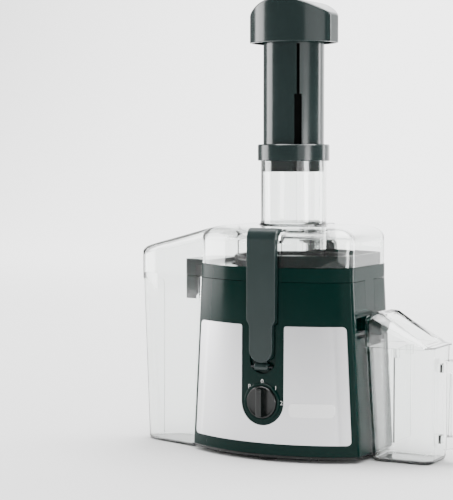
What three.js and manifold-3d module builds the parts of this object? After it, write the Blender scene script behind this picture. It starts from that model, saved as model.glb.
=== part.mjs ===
// Centrifugal juicer: motor base, juice bowl, spinning basket, clear lid with feed chute and pusher,
// pulp container on the left and juice jug on the right. Millimetres, +Z up, drive axis at X = 0, Y = 0.
import * as THREE from 'three';
import { mergeVertices } from 'three/addons/utils/BufferGeometryUtils.js';
import Module from 'manifold-3d';

const wasm = await Module();
wasm.setup();

// ---- Driving dimensions --------------------------------------------------------------------------
// Clearances
const gap = 0.3;
const runningGap = 0.5;
const basketGap = 4;

// Motor base: a lens-shaped plan with flat ends that flares towards the table
const baseHalfWidth = 100;
const baseHalfDepth = 85;
const baseEndHalf = 52;
const baseCorner = 8;
const baseFlare = 11;
const baseDepthFlare = 2;
const footHeight = 5;
const footRadius = 11;
const footSpotX = 78;
const footSpotY = 69;
const plateHeight = 8;
const trayInset = 0.8;
const trayRimWall = 2.1;
const rimHeightInside = 6;
const tabX = 60;
const tabDrop = 2.5;
const postRadius = 5.5;
const baseHeight = 212;
const shellWall = 2.6;
const wellRoom = 60;

// Front trim and control
const steelBottom = 21.5;
const steelBelowRing = 51;
const steelThickness = 0.8;
const steelSideMargin = 7;
const columnHalfWidth = 27.5;
const knobHeight = 70;
const knobRadius = 19;
const knobDepth = 11;
const bezelWidth = 3.5;
const badgeWidth = 52;
const badgeHeight = 16;
const badgeThickness = 1;
const badgeZ = 62.5;
const badgeX = 60;

// Side latches
const latchHalfWidth = 18.5;
const latchTailHalfWidth = 15;
const latchThickness = 9.2;
const latchStepDrop = 50;
const latchTailZ = 117;
const latchBelowLid = 0.5;
const latchPivotZ = 112;
const knuckleRadius = 4.5;
const knuckleHalf = 9;
const latchSideGap = 1.6;
const channelBackLow = 94;
const latchPinRadius = 1.4;
const hookReach = 12;
const hookSlope = 0.84;

// Bowl, basket and drive
const bowlWall = 2.5;
const wellRadius = 75.5;
const ringHeight = 17;
const guardInset = 6;
const guardHeight = 14;
const neckBore = 16;
const neckHeight = 28;
const hubRadius = 49;
const hubRise = 32;
const hubThickness = 4;
const sieveWall = 1.5;
const sieveHeight = 45.7;
const discThickness = 2;
const rimHeight = 5.7;
const shaftRadius = 4;
const couplingRadius = 13;

// Lid, chute and pusher
const lidWall = 2.5;
const lidRise = 47;
const shoulderDrop = 14;
const chuteBore = 75;
const chuteWall = 2.5;
const chuteRise = 96;
const chuteOverHub = 13;
const ribWidth = 3;
const ribDepth = 2.2;
const ribAngle = 33;
const collarWall = 3.4;
const collarHeight = 20;
const pusherWall = 2.5;
const pusherDip = 31;
const pusherLength = 186;
const capOverTube = 31;
const capEndReach = 16.5;
const capSideReach = 8;
const capEndHalf = 13.5;
const capEndHeight = 34;
const capCrown = 19;
const socketDepth = 12;

// Pulp container and the lid's hood over it
const binGap = 4.5;
const binLength = 105.5;
const binHalf = 45;
const binShoulderLength = 55.5;
const binShoulderHalf = 28;
const binDraft = 11;
const binNearDraft = 10;
const binWall = 2;
const hoodStep = 8;
const hoodFall = 23;
const apronOverBin = 25.5;
const apronDepth = 16.5;
const apronInset = 4.4;
const apronDrop = 28;

// Juice jug and its lid
const jugGap = 7.5;
const jugLength = 85;
const jugHalfDepth = 36;
const jugUnderSpout = 12;
const jugWall = 2.5;
const jugDraft = 6;
const jugLidPeak = 40;
const jugLidTail = 5;
const handleReach = 40;
const spoutHalf = 14;
const spoutWall = 2.5;
const spoutOverJug = 14.5;
const spoutDrop = 4;
const spoutRise = 19;
const spoutFall = 8;
const recessDepth = 4;
const recessDrop = 7;
const recessRise = 18;
const recessHalf = 45;

// Motor
const motorHalf = 46;
const boltOffset = 38;
const lowerBracketZ = 18;
const bracketUnderDeck = 30;
const bracketThickness = 3;
const statorRadius = 42;
const statorWall = 15;
const statorLow = 44;
const statorUnderFan = 14;
const bearingRadius = 11;
const bearingHeight = 7;
const coilHeight = 10;
const armatureRadius = 25;
const commutatorRadius = 12;
const commutatorZ = 28;
const fanRadius = 38;
const fanUnderBracket = 14;
const shaftLow = 14;
const shaftOverDeck = 19;

// ---- Sizes that follow ---------------------------------------------------------------------------
const deckHeight = baseHeight - wellRoom;
const steelTop = baseHeight - steelBelowRing;
const latchStepZ = baseHeight - latchStepDrop;
const ringBottom = baseHeight + 2 * gap;
const ringTop = baseHeight + ringHeight;
const lidBottom = ringTop + 2 * gap;
const lidTop = ringTop + lidRise;
const latchTopZ = lidTop - latchBelowLid;
const hubZ = deckHeight + hubRise;
const chuteTop = lidTop + chuteRise;
const chuteBottomZ = hubZ + chuteOverHub;
const wellOuter = wellRadius + bowlWall;
const bowlFloor = deckHeight + 2 * gap;
const chuteInner = chuteBore / 2;
const chuteOuter = chuteInner + chuteWall;
const collarOuter = chuteOuter + gap + collarWall;
const pusherRadius = chuteInner - runningGap;
const pusherBottom = chuteTop - pusherDip;
const capBottom = pusherBottom + pusherLength - capOverTube;
const capHalfWidth = pusherRadius + capEndReach;
const capHalfDepth = pusherRadius + capSideReach;
const latchInnerY = baseHalfDepth - 2.7;
const channelY = latchInnerY - gap;
const latchOuterY = latchInnerY + latchThickness;
const latchPivotY = latchInnerY + knuckleRadius;
const hookInnerY = latchInnerY - hookReach;
const hookLowZ = latchTopZ - 17;
const frontY = baseHalfDepth + baseDepthFlare * (baseHeight - knobHeight) / baseHeight;
const binRight = baseHalfWidth + binGap;
const binLeft = binRight + binLength;
const binShoulderX = binRight + binShoulderLength;
const hoodRightTop = lidTop - hoodStep;
const hoodLeftTop = hoodRightTop - hoodFall;
const apronReach = binRight + apronOverBin;
const apronBottom = baseHeight - apronDrop;
const jugNear = baseHalfWidth + jugGap;
const jugFar = jugNear + jugLength;
const spoutReach = jugNear + spoutOverJug;
const spoutBottom = deckHeight - spoutDrop;
const spoutTop = deckHeight + spoutRise;
const jugHeight = spoutBottom - jugUnderSpout;
const recessFloorX = baseHalfWidth - recessDepth;
const recessLow = deckHeight - recessDrop;
const recessHigh = deckHeight + recessRise;
const upperBracketZ = deckHeight - bracketUnderDeck;
const fanZ = upperBracketZ - fanUnderBracket;
const statorHigh = fanZ - statorUnderFan;
const shaftTop = deckHeight + shaftOverDeck;
const sieveBottomZ = hubZ + hubThickness + gap;
const sieveTopZ = sieveBottomZ + sieveHeight;
const rimRadius = wellRadius - basketGap;
const sealRadius = couplingRadius + 2;
const boltSpots = [[1, 1], [-1, 1], [-1, -1], [1, -1]];

// ---- Materials -----------------------------------------------------------------------------------
const finish = (color, roughness, metalness) => (
  new THREE.MeshStandardMaterial({ color, roughness, metalness })
);
const clearFinish = () => {
  const material = finish(0xeef4f4, 0.05, 0);
  material.transparent = true;
  material.opacity = 0.3;
  return material;
};

// ---- Solids --------------------------------------------------------------------------------------
// A closed three.js geometry becomes a solid whose shared corners are merged and whose faces point out.
function solid(geometry) {
  const bare = geometry.clone();
  bare.deleteAttribute('normal');
  bare.deleteAttribute('uv');
  const merged = mergeVertices(bare, 1e-4);
  const corner = merged.attributes.position.array;
  const index = merged.index.array;
  const triangles = [];
  let volume = 0;
  for (let i = 0; i < index.length; i += 3) {
    const [a, b, c] = [index[i], index[i + 1], index[i + 2]];
    if (a === b || b === c || c === a) continue;
    triangles.push(a, b, c);
    const [ax, ay, az] = corner.slice(3 * a, 3 * a + 3);
    const [bx, by, bz] = corner.slice(3 * b, 3 * b + 3);
    const [cx, cy, cz] = corner.slice(3 * c, 3 * c + 3);
    volume += ax * (by * cz - bz * cy) - ay * (bx * cz - bz * cx) + az * (bx * cy - by * cx);
  }
  if (volume < 0) triangles.reverse();
  const vertProperties = new Float32Array(corner);
  const triVerts = new Uint32Array(triangles);
  return new wasm.Manifold(new wasm.Mesh({ numProp: 3, vertProperties, triVerts }));
}

const join = (first, ...others) => others.reduce((sum, other) => sum.add(other), first);
const cut = (first, ...others) => others.reduce((rest, other) => rest.subtract(other), first);

function block(x0, x1, y0, y1, z0, z1) {
  const box = new THREE.BoxGeometry(x1 - x0, y1 - y0, z1 - z0);
  return solid(box.translate((x0 + x1) / 2, (y0 + y1) / 2, (z0 + z1) / 2));
}

function rod(radius, z0, z1, sides = 24, x = 0, y = 0) {
  const cylinder = new THREE.CylinderGeometry(radius, radius, z1 - z0, sides);
  return solid(cylinder.rotateX(Math.PI / 2).translate(x, y, (z0 + z1) / 2));
}

// A rod along Y, such as a knob or a hole through the front wall.
function rodAlongY(radius, y0, y1, x, z, sides = 24) {
  return solid(new THREE.CylinderGeometry(radius, radius, y1 - y0, sides).translate(x, (y0 + y1) / 2, z));
}

function rodAlongX(radius, x0, x1, y, z, sides = 16) {
  const cylinder = new THREE.CylinderGeometry(radius, radius, x1 - x0, sides);
  return solid(cylinder.rotateZ(Math.PI / 2).translate((x0 + x1) / 2, y, z));
}

// A profile of [radius, height] points turned about the vertical axis.
function turned(profile, sides = 40) {
  const points = profile.map(([radius, height]) => new THREE.Vector2(radius, height));
  return solid(new THREE.LatheGeometry(points, sides).rotateX(Math.PI / 2));
}

function ring(inner, outer, z0, z1, sides = 40) {
  return turned([[inner, z0], [outer, z0], [outer, z1], [inner, z1], [inner, z0]], sides);
}

// An outline of [x, z] points pushed along Y.
function sideProfile(points, y0, y1) {
  const shape = new THREE.Shape(points.map(([x, z]) => new THREE.Vector2(x, z)));
  const prism = new THREE.ExtrudeGeometry(shape, { depth: y1 - y0, bevelEnabled: false });
  return solid(prism.rotateX(Math.PI / 2).translate(0, y1, 0));
}

// An outline of [y, z] points pushed along X.
function frontProfile(points, x0, x1) {
  const shape = new THREE.Shape(points.map(([y, z]) => new THREE.Vector2(y, z)));
  const prism = new THREE.ExtrudeGeometry(shape, { depth: x1 - x0, bevelEnabled: false });
  return solid(prism.rotateX(Math.PI / 2).rotateZ(Math.PI / 2).translate(x0, 0, 0));
}

// Rings of equally many [x, y, z] points skinned one to the next and closed at both ends.
function loft(rings) {
  const count = rings[0].length;
  const position = rings.flat(2);
  const index = [];
  const cap = (start, flip) => {
    const ringPoints = rings[start];
    const middle = [0, 1, 2].map((axis) => ringPoints.reduce((sum, p) => sum + p[axis], 0) / count);
    const centre = position.length / 3;
    position.push(...middle);
    for (let i = 0; i < count; i += 1) {
      const a = start * count + i;
      const b = start * count + (i + 1) % count;
      index.push(...(flip ? [centre, b, a] : [centre, a, b]));
    }
  };
  for (let level = 0; level < rings.length - 1; level += 1) {
    for (let i = 0; i < count; i += 1) {
      const a = level * count + i;
      const b = level * count + (i + 1) % count;
      index.push(a, b, b + count, a, b + count, a + count);
    }
  }
  cap(0, true);
  cap(rings.length - 1, false);
  const geometry = new THREE.BufferGeometry();
  geometry.setAttribute('position', new THREE.Float32BufferAttribute(position, 3));
  geometry.setIndex(index);
  return solid(geometry);
}

// A lens plan, anticlockwise from the left end: two arcs, two flat ends and eased corners.
function lens(halfWidth, halfDepth, endHalf, inset, corner = baseCorner, steps = 10) {
  const rise = halfDepth - endHalf;
  const radius = (halfWidth ** 2 + rise ** 2) / (2 * rise);
  const arcY = (x) => halfDepth - radius + Math.sqrt((radius - inset) ** 2 - x ** 2);
  const end = halfWidth - inset;
  const edge = end - corner;
  const corners = [0, 1 / 3, 2 / 3].map((t) => {
    const [start, pull, stop] = [(1 - t) ** 2, 2 * t * (1 - t), t ** 2];
    const x = start * end + pull * end + stop * edge;
    const y = start * (arcY(end) - corner) + pull * arcY(end) + stop * arcY(edge);
    return [x, y];
  });
  const arc = [];
  for (let i = 0; i <= steps; i += 1) {
    const x = -edge + 2 * edge * i / steps;
    arc.push([x, -arcY(x)]);
  }
  const front = [
    ...corners.map(([x, y]) => [-x, -y]),
    ...arc,
    ...corners.map(([x, y]) => [x, -y]).reverse(),
  ];
  return [...front, ...front.map(([x, y]) => [x, -y]).reverse()];
}

// The base's plan at a height, with its wall faces moved in by inset.
function basePlan(z, inset) {
  const drop = (baseHeight - Math.min(z, baseHeight)) / baseHeight;
  const halfWidth = baseHalfWidth + baseFlare * drop;
  return lens(halfWidth, baseHalfDepth + baseDepthFlare * drop, baseEndHalf, inset);
}

const lifted = (plan, z) => plan.map(([x, y]) => [x, y, z]);

function baseSolid(z0, z1, inset) {
  return loft([lifted(basePlan(z0, inset), z0), lifted(basePlan(z1, inset), z1)]);
}

// The pulp container's plan: straight sides that close in on a rounded far end.
function binPlan(right, left, widen, inset) {
  const slope = (binHalf - binShoulderHalf) / (binShoulderX - binRight);
  const shoulder = binShoulderX - (binLeft - left);
  const halfAt = (x) => binHalf + widen - inset - slope * (x - binRight);
  const end = left - inset;
  const near = right + inset;
  const corner = 5;
  const side = [[near, halfAt(near) - corner], [near + corner, halfAt(near + corner)]];
  const middle = (near + corner + shoulder) / 2;
  side.push([middle, halfAt(middle)]);
  const start = [shoulder, halfAt(shoulder)];
  const pulls = [[shoulder + 17, halfAt(shoulder + 17)], [end, halfAt(shoulder) * 0.62]];
  for (let i = 0; i < 8; i += 1) {
    const t = i / 8;
    const weights = [(1 - t) ** 3, 3 * t * (1 - t) ** 2, 3 * t ** 2 * (1 - t), t ** 3];
    const spots = [start, pulls[0], pulls[1], [end, 0]];
    const spot = [0, 1].map((axis) => spots.reduce((sum, p, k) => sum + weights[k] * p[axis], 0));
    side.push(spot);
  }
  const back = side.map(([x, y]) => [-x, y]);
  const front = side.map(([x, y]) => [-x, -y]).reverse();
  return [...back, [-end, 0], ...front];
}

// A rectangle with rounded corners, anticlockwise.
function roundedPlan(x0, x1, halfDepth, radius, steps = 5) {
  const plan = [];
  const centres = [[x1, -1, 0], [x1, 1, 1], [x0, 1, 2], [x0, -1, 3]];
  for (const [x, side, quarter] of centres) {
    const middle = x === x1 ? x1 - radius : x0 + radius;
    for (let i = 0; i <= steps; i += 1) {
      const angle = (quarter - 1 + i / steps) * Math.PI / 2;
      plan.push([middle + radius * Math.cos(angle), side * (halfDepth - radius) + radius * Math.sin(angle)]);
    }
  }
  return plan;
}

// ---- Scene graph ---------------------------------------------------------------------------------
const juicer = new THREE.Group();

function piece(name, shape, material, parent = juicer) {
  const { vertProperties, triVerts } = shape.getMesh();
  const geometry = new THREE.BufferGeometry();
  geometry.setAttribute('position', new THREE.BufferAttribute(vertProperties, 3));
  geometry.setIndex(new THREE.BufferAttribute(triVerts, 1));
  const mesh = new THREE.Mesh(geometry, material);
  mesh.name = name;
  parent.add(mesh);
  return mesh;
}

const darkPlastic = () => finish(0x26312f, 0.32, 0);
const blackPlastic = () => finish(0x141817, 0.45, 0);
const steel = () => finish(0xc4c5c8, 0.3, 1);
const copper = () => finish(0xb06a3a, 0.35, 1);
const iron = () => finish(0x6d7074, 0.5, 1);
const rubber = () => finish(0x161616, 0.9, 0);

// ---- Motor base ----------------------------------------------------------------------------------
// The channel that a latch lies in: wide above the step, narrow with a round bottom below it.
function latchChannel(side, topZ, halfWidth = latchHalfWidth + latchSideGap) {
  const tail = latchTailHalfWidth + latchSideGap;
  const roundZ = latchPivotZ - knuckleRadius - 4 + tail;
  const outline = [];
  for (let i = 0; i <= 8; i += 1) {
    const angle = Math.PI * (1 + i / 8);
    outline.push([tail * Math.cos(angle), roundZ + tail * Math.sin(angle)]);
  }
  outline.push([tail, latchStepZ], [halfWidth, latchStepZ + 4], [halfWidth, topZ]);
  outline.push([-halfWidth, topZ], [-halfWidth, latchStepZ + 4], [-tail, latchStepZ]);
  return side < 0
    ? sideProfile(outline, -baseHalfDepth - 20, -channelY)
    : sideProfile(outline, channelY, baseHalfDepth + 20);
}

function bothSides(make) {
  return [make(-1), make(1)];
}

function sideBlock(side, halfWidth, innerY, outerY, z0, z1) {
  const y0 = side < 0 ? -outerY : innerY;
  return block(-halfWidth, halfWidth, y0, y0 + outerY - innerY, z0, z1);
}

function housing() {
  const low = plateHeight + gap;
  const shell = cut(
    baseSolid(low, baseHeight, 0),
    baseSolid(low - 1, deckHeight - 3, shellWall),
    baseSolid(deckHeight, baseHeight + 1, shellWall),
  );
  const channelBacks = bothSides((side) => (
    sideBlock(side, latchHalfWidth + 5, channelY - shellWall, channelY + 1.4, channelBackLow, baseHeight)
  ));
  const spoutPad = block(recessFloorX - 3, baseHalfWidth + 1, -recessHalf - 3, recessHalf + 3,
    recessLow - 3, recessHigh + 3);
  const postLow = upperBracketZ + bracketThickness + gap;
  const posts = boltSpots.map(([x, y]) => (
    rod(postRadius, postLow, deckHeight - 1, 12, x * boltOffset, y * boltOffset)
  ));
  const body = join(shell, ...channelBacks, spoutPad, ...posts);
  const ears = bothSides((side) => [-1, 1].map((end) => {
    const x = end * (knuckleHalf + 3.2);
    const y = side * latchPivotY;
    return block(x - 2.6, x + 2.6, Math.min(y, side * (channelY - 1)), Math.max(y, side * (channelY - 1)),
      latchPivotZ - 4, latchPivotZ + 4);
  })).flat();
  const recess = block(recessFloorX, 130, -recessHalf, recessHalf, recessLow, recessHigh);
  const spoutNotch = block(80, 130, -spoutHalf - gap, spoutHalf + gap, deckHeight, baseHeight + 1);
  const knobHole = rodAlongY(4.2, -100, -70, 0, knobHeight, 16);
  const cordHole = rodAlongY(6.3, 70, 100, -55, 32, 16);
  const shaftHole = rod(sealRadius + gap, deckHeight - 10, deckHeight + 1, 24);
  const pinHoles = bothSides((side) => (
    rodAlongX(latchPinRadius + gap, -14, 14, side * latchPivotY, latchPivotZ, 10)
  ));
  const channels = bothSides((side) => latchChannel(side, baseHeight + 1));
  const opened = cut(body, ...channels, recess, spoutNotch, knobHole, cordHole, shaftHole);
  return cut(join(opened, ...ears), ...pinHoles);
}

function basePlate() {
  const tray = baseSolid(footHeight, plateHeight, trayInset);
  const rimInset = shellWall + gap;
  const rim = cut(
    baseSolid(plateHeight - 0.5, plateHeight + rimHeightInside, rimInset),
    baseSolid(plateHeight, plateHeight + rimHeightInside + 1, rimInset + trayRimWall),
  );
  const posts = boltSpots.map(([x, y]) => (
    rod(postRadius, plateHeight - 1, lowerBracketZ - gap, 12, x * boltOffset, y * boltOffset)
  ));
  const tabs = [-tabX, tabX].map((x) => (
    block(x - 4, x + 4, -footSpotY - 2, -footSpotY + 2, footHeight - tabDrop, footHeight + 1)
  ));
  return join(tray, rim, ...posts, ...tabs);
}

// The brushed plate wraps the front below the latch and leaves the control column clear.
function steelPanel() {
  const proud = (inset) => baseSolid(steelBottom, steelTop, inset);
  const skin = cut(proud(-gap - steelThickness), proud(-gap));
  const slope = baseFlare / baseHeight;
  const half = (z) => baseHalfWidth + slope * (baseHeight - z) - steelSideMargin;
  const keep = sideProfile([
    [-half(steelBottom), steelBottom + 0.1],
    [half(steelBottom), steelBottom + 0.1],
    [half(steelTop), steelTop - 0.1],
    [-half(steelTop), steelTop - 0.1],
  ], -baseHalfDepth - 20, -20);
  const column = join(
    rodAlongY(columnHalfWidth, -baseHalfDepth - 20, -20, 0, knobHeight, 40),
    block(-columnHalfWidth, columnHalfWidth, -baseHalfDepth - 20, -20, knobHeight, steelTop + 1),
  );
  return cut(skin.intersect(keep), column);
}

function badge() {
  const clear = gap + steelThickness + gap;
  const [low, high] = [badgeZ - badgeHeight, badgeZ + badgeHeight];
  const skin = cut(baseSolid(low, high, -clear - badgeThickness), baseSolid(low, high, -clear));
  const half = badgeWidth / 2;
  const round = badgeHeight / 3;
  const plan = roundedPlan(badgeX - half, badgeX + half, badgeHeight / 2, round, 3)
    .map(([x, z]) => [x, z + badgeZ]);
  return skin.intersect(sideProfile(plan, -baseHalfDepth - 20, -20));
}

function controlBezel() {
  const back = -(frontY + gap);
  const outer = rodAlongY(knobRadius + gap + bezelWidth, back - 1.6, back, 0, knobHeight, 36);
  return cut(outer, rodAlongY(knobRadius + gap, back - 5, back + 5, 0, knobHeight, 36));
}

function knob() {
  const back = -(frontY + 2 * gap);
  const dish = rodAlongY(knobRadius, back - 3, back, 0, knobHeight, 32);
  const reach = knobRadius - 1;
  const grip = block(-4, 4, back - knobDepth, back - 1, knobHeight - reach, knobHeight + reach);
  const stem = rodAlongY(3, back - 1, -baseHalfDepth + 12, 0, knobHeight, 12);
  return join(dish, grip, stem);
}

function rotarySwitch() {
  const front = -baseHalfDepth + 8;
  const body = block(-14, 14, front, front + 22, knobHeight - 14, knobHeight + 14);
  return cut(body, rodAlongY(3 + gap, front - 1, front + 6, 0, knobHeight, 12));
}

// ---- Motor ---------------------------------------------------------------------------------------
function bracket(z, boreRadius) {
  const plate = block(-motorHalf, motorHalf, -motorHalf, motorHalf, z, z + bracketThickness);
  const seat = rod(bearingRadius + gap + 3, z - 1, z + bearingHeight - 1, 24);
  const windows = boltSpots.map(([x, y]) => rod(7, z - 5, z + 8, 8, x * 24, y * 24));
  const bolts = boltSpots.map(([x, y]) => rod(2.5 + gap, z - 5, z + 10, 8, x * boltOffset, y * boltOffset));
  return cut(join(plate, seat), rod(boreRadius, z - 5, z + 15, 24), ...windows, ...bolts);
}

function stator() {
  const core = ring(statorRadius - statorWall, statorRadius, statorLow, statorHigh, 32);
  const slots = bothSides((side) => sideBlock(side, 8, 25, 33, statorLow - 1, statorHigh + 1));
  return cut(core, ...slots);
}

function fieldCoil(side) {
  const z0 = statorHigh + gap;
  const whole = ring(statorRadius - statorWall + 1, statorRadius - 2, z0, z0 + coilHeight, 24);
  const keep = side < 0 ? block(-60, -3, -60, 60, z0 - 1, z0 + 20) : block(3, 60, -60, 60, z0 - 1, z0 + 20);
  return whole.intersect(keep);
}

function brushHolder(side) {
  const y = side * (commutatorRadius + 12);
  const z = commutatorZ + 6;
  const body = block(-5, 5, y - 10, y + 10, z - 5, z + 5);
  return cut(body, block(-3.3, 3.3, y - 12, y + 12, z - 3.3, z + 3.3));
}

function carbonBrush(side) {
  const near = side * (commutatorRadius + gap);
  const far = side * (commutatorRadius + 14);
  const z = commutatorZ + 6;
  return block(-3, 3, Math.min(near, far), Math.max(near, far), z - 3, z + 3);
}

function fan() {
  const hub = rod(9, fanZ, fanZ + 8, 16);
  const disc = rod(fanRadius, fanZ, fanZ + 1.6, 28);
  const blades = [];
  for (let i = 0; i < 10; i += 1) {
    const blade = new THREE.BoxGeometry(fanRadius - 9, 1.4, 6).translate((fanRadius + 7) / 2, 0, fanZ + 4);
    blades.push(solid(blade.rotateZ(i * Math.PI / 5)));
  }
  return cut(join(hub, disc, ...blades), rod(shaftRadius + gap, fanZ - 1, fanZ + 10, 16));
}

function sleeve(outer, z0, z1, sides = 24) {
  return cut(rod(outer, z0, z1, sides), rod(shaftRadius + gap, z0 - 1, z1 + 1, 16));
}

// Twelve slots run the length of the armature's iron.
function armatureCore() {
  const core = sleeve(armatureRadius, statorLow + 2, statorHigh - 2, 36);
  const slots = [];
  for (let i = 0; i < 12; i += 1) {
    const slot = new THREE.BoxGeometry(6, 2.4, statorHigh);
    slot.translate(armatureRadius, 0, (statorLow + statorHigh) / 2);
    slots.push(solid(slot.rotateZ(i * Math.PI / 6)));
  }
  return cut(core, ...slots);
}

function driveCoupling() {
  const boss = rod(couplingRadius, deckHeight - 6, hubZ - 4, 24);
  const flutes = [];
  for (let i = 0; i < 6; i += 1) {
    const angle = i * Math.PI / 3;
    const [x, y] = [couplingRadius * Math.cos(angle), couplingRadius * Math.sin(angle)];
    flutes.push(rod(1.6, hubZ - 16, hubZ, 8, x, y));
  }
  return cut(boss, rod(shaftRadius + gap, 0, shaftTop + gap, 16), ...flutes);
}

// ---- Bowl ----------------------------------------------------------------------------------------
function bowlRing() {
  const plan = (inset) => lens(baseHalfWidth, baseHalfDepth, baseEndHalf, inset);
  const band = (z0, z1, inset) => loft([lifted(plan(inset), z0), lifted(plan(inset), z1)]);
  const skirt = cut(band(ringBottom, ringTop, 0), band(ringBottom - 1, ringTop - 3, 3));
  const guardTop = ringTop + guardHeight;
  const guard = cut(band(ringTop - 1, guardTop, guardInset), band(ringTop - 2, guardTop + 1, guardInset + 2));
  const opening = block(-200, 0, -100, 100, ringTop, guardTop + 10);
  const backs = bothSides((side) => (
    sideBlock(side, latchHalfWidth + 5, wellOuter - 1, channelY + 1.4, ringBottom, ringTop)
  ));
  const channels = bothSides((side) => latchChannel(side, ringTop + 60));
  return cut(join(skirt, cut(guard, opening), ...backs), ...channels);
}

// The apron reaches over the container's low wall and hangs inside it.
function apron() {
  const top = ringTop + 4;
  const near = -apronReach + apronDepth;
  const root = -baseHalfWidth + 8;
  const outer = sideProfile([
    [root, ringTop - 3], [near, ringTop - 3], [near, apronBottom],
    [-apronReach, apronBottom], [-apronReach, top], [root, top],
  ], -binHalf, binHalf);
  const plan = (inset) => binPlan(baseHalfWidth - 22, binLeft, 0, inset);
  const within = (inset, z0, z1) => loft([lifted(plan(inset), z0), lifted(plan(inset), z1)]);
  const keep = within(apronInset, apronBottom - 1, top + 1);
  const open = within(apronInset + 2, apronBottom - 1, top - 2.4);
  const hollow = open.intersect(block(-apronReach + 2, 0, -binHalf, binHalf, 0, top));
  return cut(outer.intersect(keep), hollow);
}

function spout() {
  const outer = sideProfile([
    [wellRadius - 0.9, bowlFloor],
    [jugNear - 3, bowlFloor],
    [jugNear - 3, spoutBottom],
    [spoutReach, spoutBottom],
    [spoutReach, spoutTop - spoutFall],
    [jugNear - 3, spoutTop],
    [wellRadius - 0.9, spoutTop],
  ], -spoutHalf, spoutHalf);
  const x = (z) => baseHalfWidth + baseFlare * (baseHeight - z) / baseHeight;
  const flap = sideProfile([
    [x(spoutTop) - shellWall, spoutTop - 1],
    [x(spoutTop), spoutTop - 1],
    [baseHalfWidth, baseHeight + 1],
    [baseHalfWidth - shellWall, baseHeight + 1],
  ], -spoutHalf, spoutHalf);
  return join(outer, flap);
}

function spoutBore() {
  const half = spoutHalf - spoutWall;
  const end = spoutReach - spoutWall;
  return sideProfile([
    [wellRadius - 6, bowlFloor + bowlWall],
    [jugNear - 3 + spoutWall, bowlFloor + bowlWall],
    [jugNear - 3 + spoutWall, spoutBottom - 1],
    [end, spoutBottom - 1],
    [end, spoutTop - spoutFall - spoutWall],
    [jugNear - 3, spoutTop - spoutWall],
    [wellRadius - 6, spoutTop - spoutWall],
  ], -half, half);
}

function juiceBowl() {
  const well = ring(wellRadius, wellOuter, bowlFloor, ringTop, 36);
  const floor = ring(neckBore, wellOuter - 0.5, bowlFloor, bowlFloor + bowlWall, 36);
  const neck = ring(neckBore, neckBore + bowlWall, bowlFloor, bowlFloor + neckHeight, 28);
  const openWell = rod(wellRadius, bowlFloor + bowlWall, ringTop + 20, 36);
  const rim = cut(join(bowlRing(), apron()), openWell);
  return cut(join(rim, well, floor, neck, spout()), spoutBore());
}

// ---- Basket --------------------------------------------------------------------------------------
function basketHub() {
  const collar = couplingRadius + 2.4;
  return turned([
    [0, hubZ - 3.6], [couplingRadius + gap, hubZ - 3.6],
    [couplingRadius + gap, hubZ - 14], [collar, hubZ - 14],
    [collar, hubZ], [hubRadius, hubZ], [hubRadius, hubZ + hubThickness], [6, hubZ + hubThickness],
    [6, hubZ + 9], [0, hubZ + 9],
  ], 40);
}

function gratingDisc() {
  const z = hubZ + hubThickness + gap;
  const disc = ring(6 + gap, hubRadius - 2, z, z + discThickness, 40);
  const teeth = [];
  for (let turn = 0; turn < 6; turn += 1) {
    for (const reach of [14, 22, 30, 38]) {
      const tooth = new THREE.BoxGeometry(4, 1.2, 1.6).translate(reach, 0, z + discThickness + 0.4);
      teeth.push(solid(tooth.rotateZ(turn * Math.PI / 3 + reach / 20)));
    }
  }
  return join(disc, ...teeth);
}

function sieveCone() {
  const low = hubRadius - 1.2;
  const high = rimRadius - 4;
  return turned([
    [low, sieveBottomZ], [low + sieveWall, sieveBottomZ], [high + sieveWall, sieveTopZ], [high, sieveTopZ],
    [low, sieveBottomZ],
  ], 36);
}

// ---- Lid -----------------------------------------------------------------------------------------
function lidDome(inset, low) {
  const shrink = inset * 0.8;
  const levels = [
    [low, 0], [lidTop - shoulderDrop, 0], [lidTop - shoulderDrop / 2, 3.5], [lidTop - 3.4, 10], [lidTop, 30],
  ];
  return loft(levels.map(([z, more], level) => {
    const plan = lens(baseHalfWidth, baseHalfDepth, baseEndHalf, inset + more, baseCorner - shrink / 4);
    return lifted(plan, level === 0 ? z : z - inset);
  }));
}

function hood(inset, low) {
  const slope = (hoodRightTop - hoodLeftTop) / (binLeft - binRight);
  const top = (x) => hoodRightTop + slope * (x + binRight);
  const near = baseHalfWidth - 22;
  const plan = (more) => binPlan(near, binLeft, 0, inset + more);
  const shoulder = plan(0).map(([x, y]) => [x, y, top(x) - 8 - inset]);
  const crown = plan(5).map(([x, y]) => [x, y, top(x) - 1.5 - inset]);
  const peak = plan(11).map(([x, y]) => [x, y, top(x) - inset]);
  return loft([lifted(plan(0), low), shoulder, crown, peak]);
}

// The hook of each latch bears on a sloping seat in the lid's shoulder.
function latchSeat(side, inner, halfWidth, bottom, margin) {
  const z = (y) => hookLowZ + hookSlope * (latchInnerY - y) - margin;
  const far = baseHalfDepth + 15;
  const outline = [
    [inner, bottom], [inner, z(inner)], [hookInnerY - margin, z(hookInnerY - margin)],
    [hookInnerY - margin, lidTop + 20], [far, lidTop + 20], [far, bottom],
  ].map(([y, height]) => [side * y, height]);
  return frontProfile(outline, -halfWidth, halfWidth);
}

function chuteRib(inner, outer, width, z0, z1) {
  const rib = new THREE.BoxGeometry(width, outer - inner, z1 - z0);
  rib.translate(0, -(inner + outer) / 2, (z0 + z1) / 2);
  return solid(rib.rotateZ(THREE.MathUtils.degToRad(ribAngle)));
}

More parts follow.
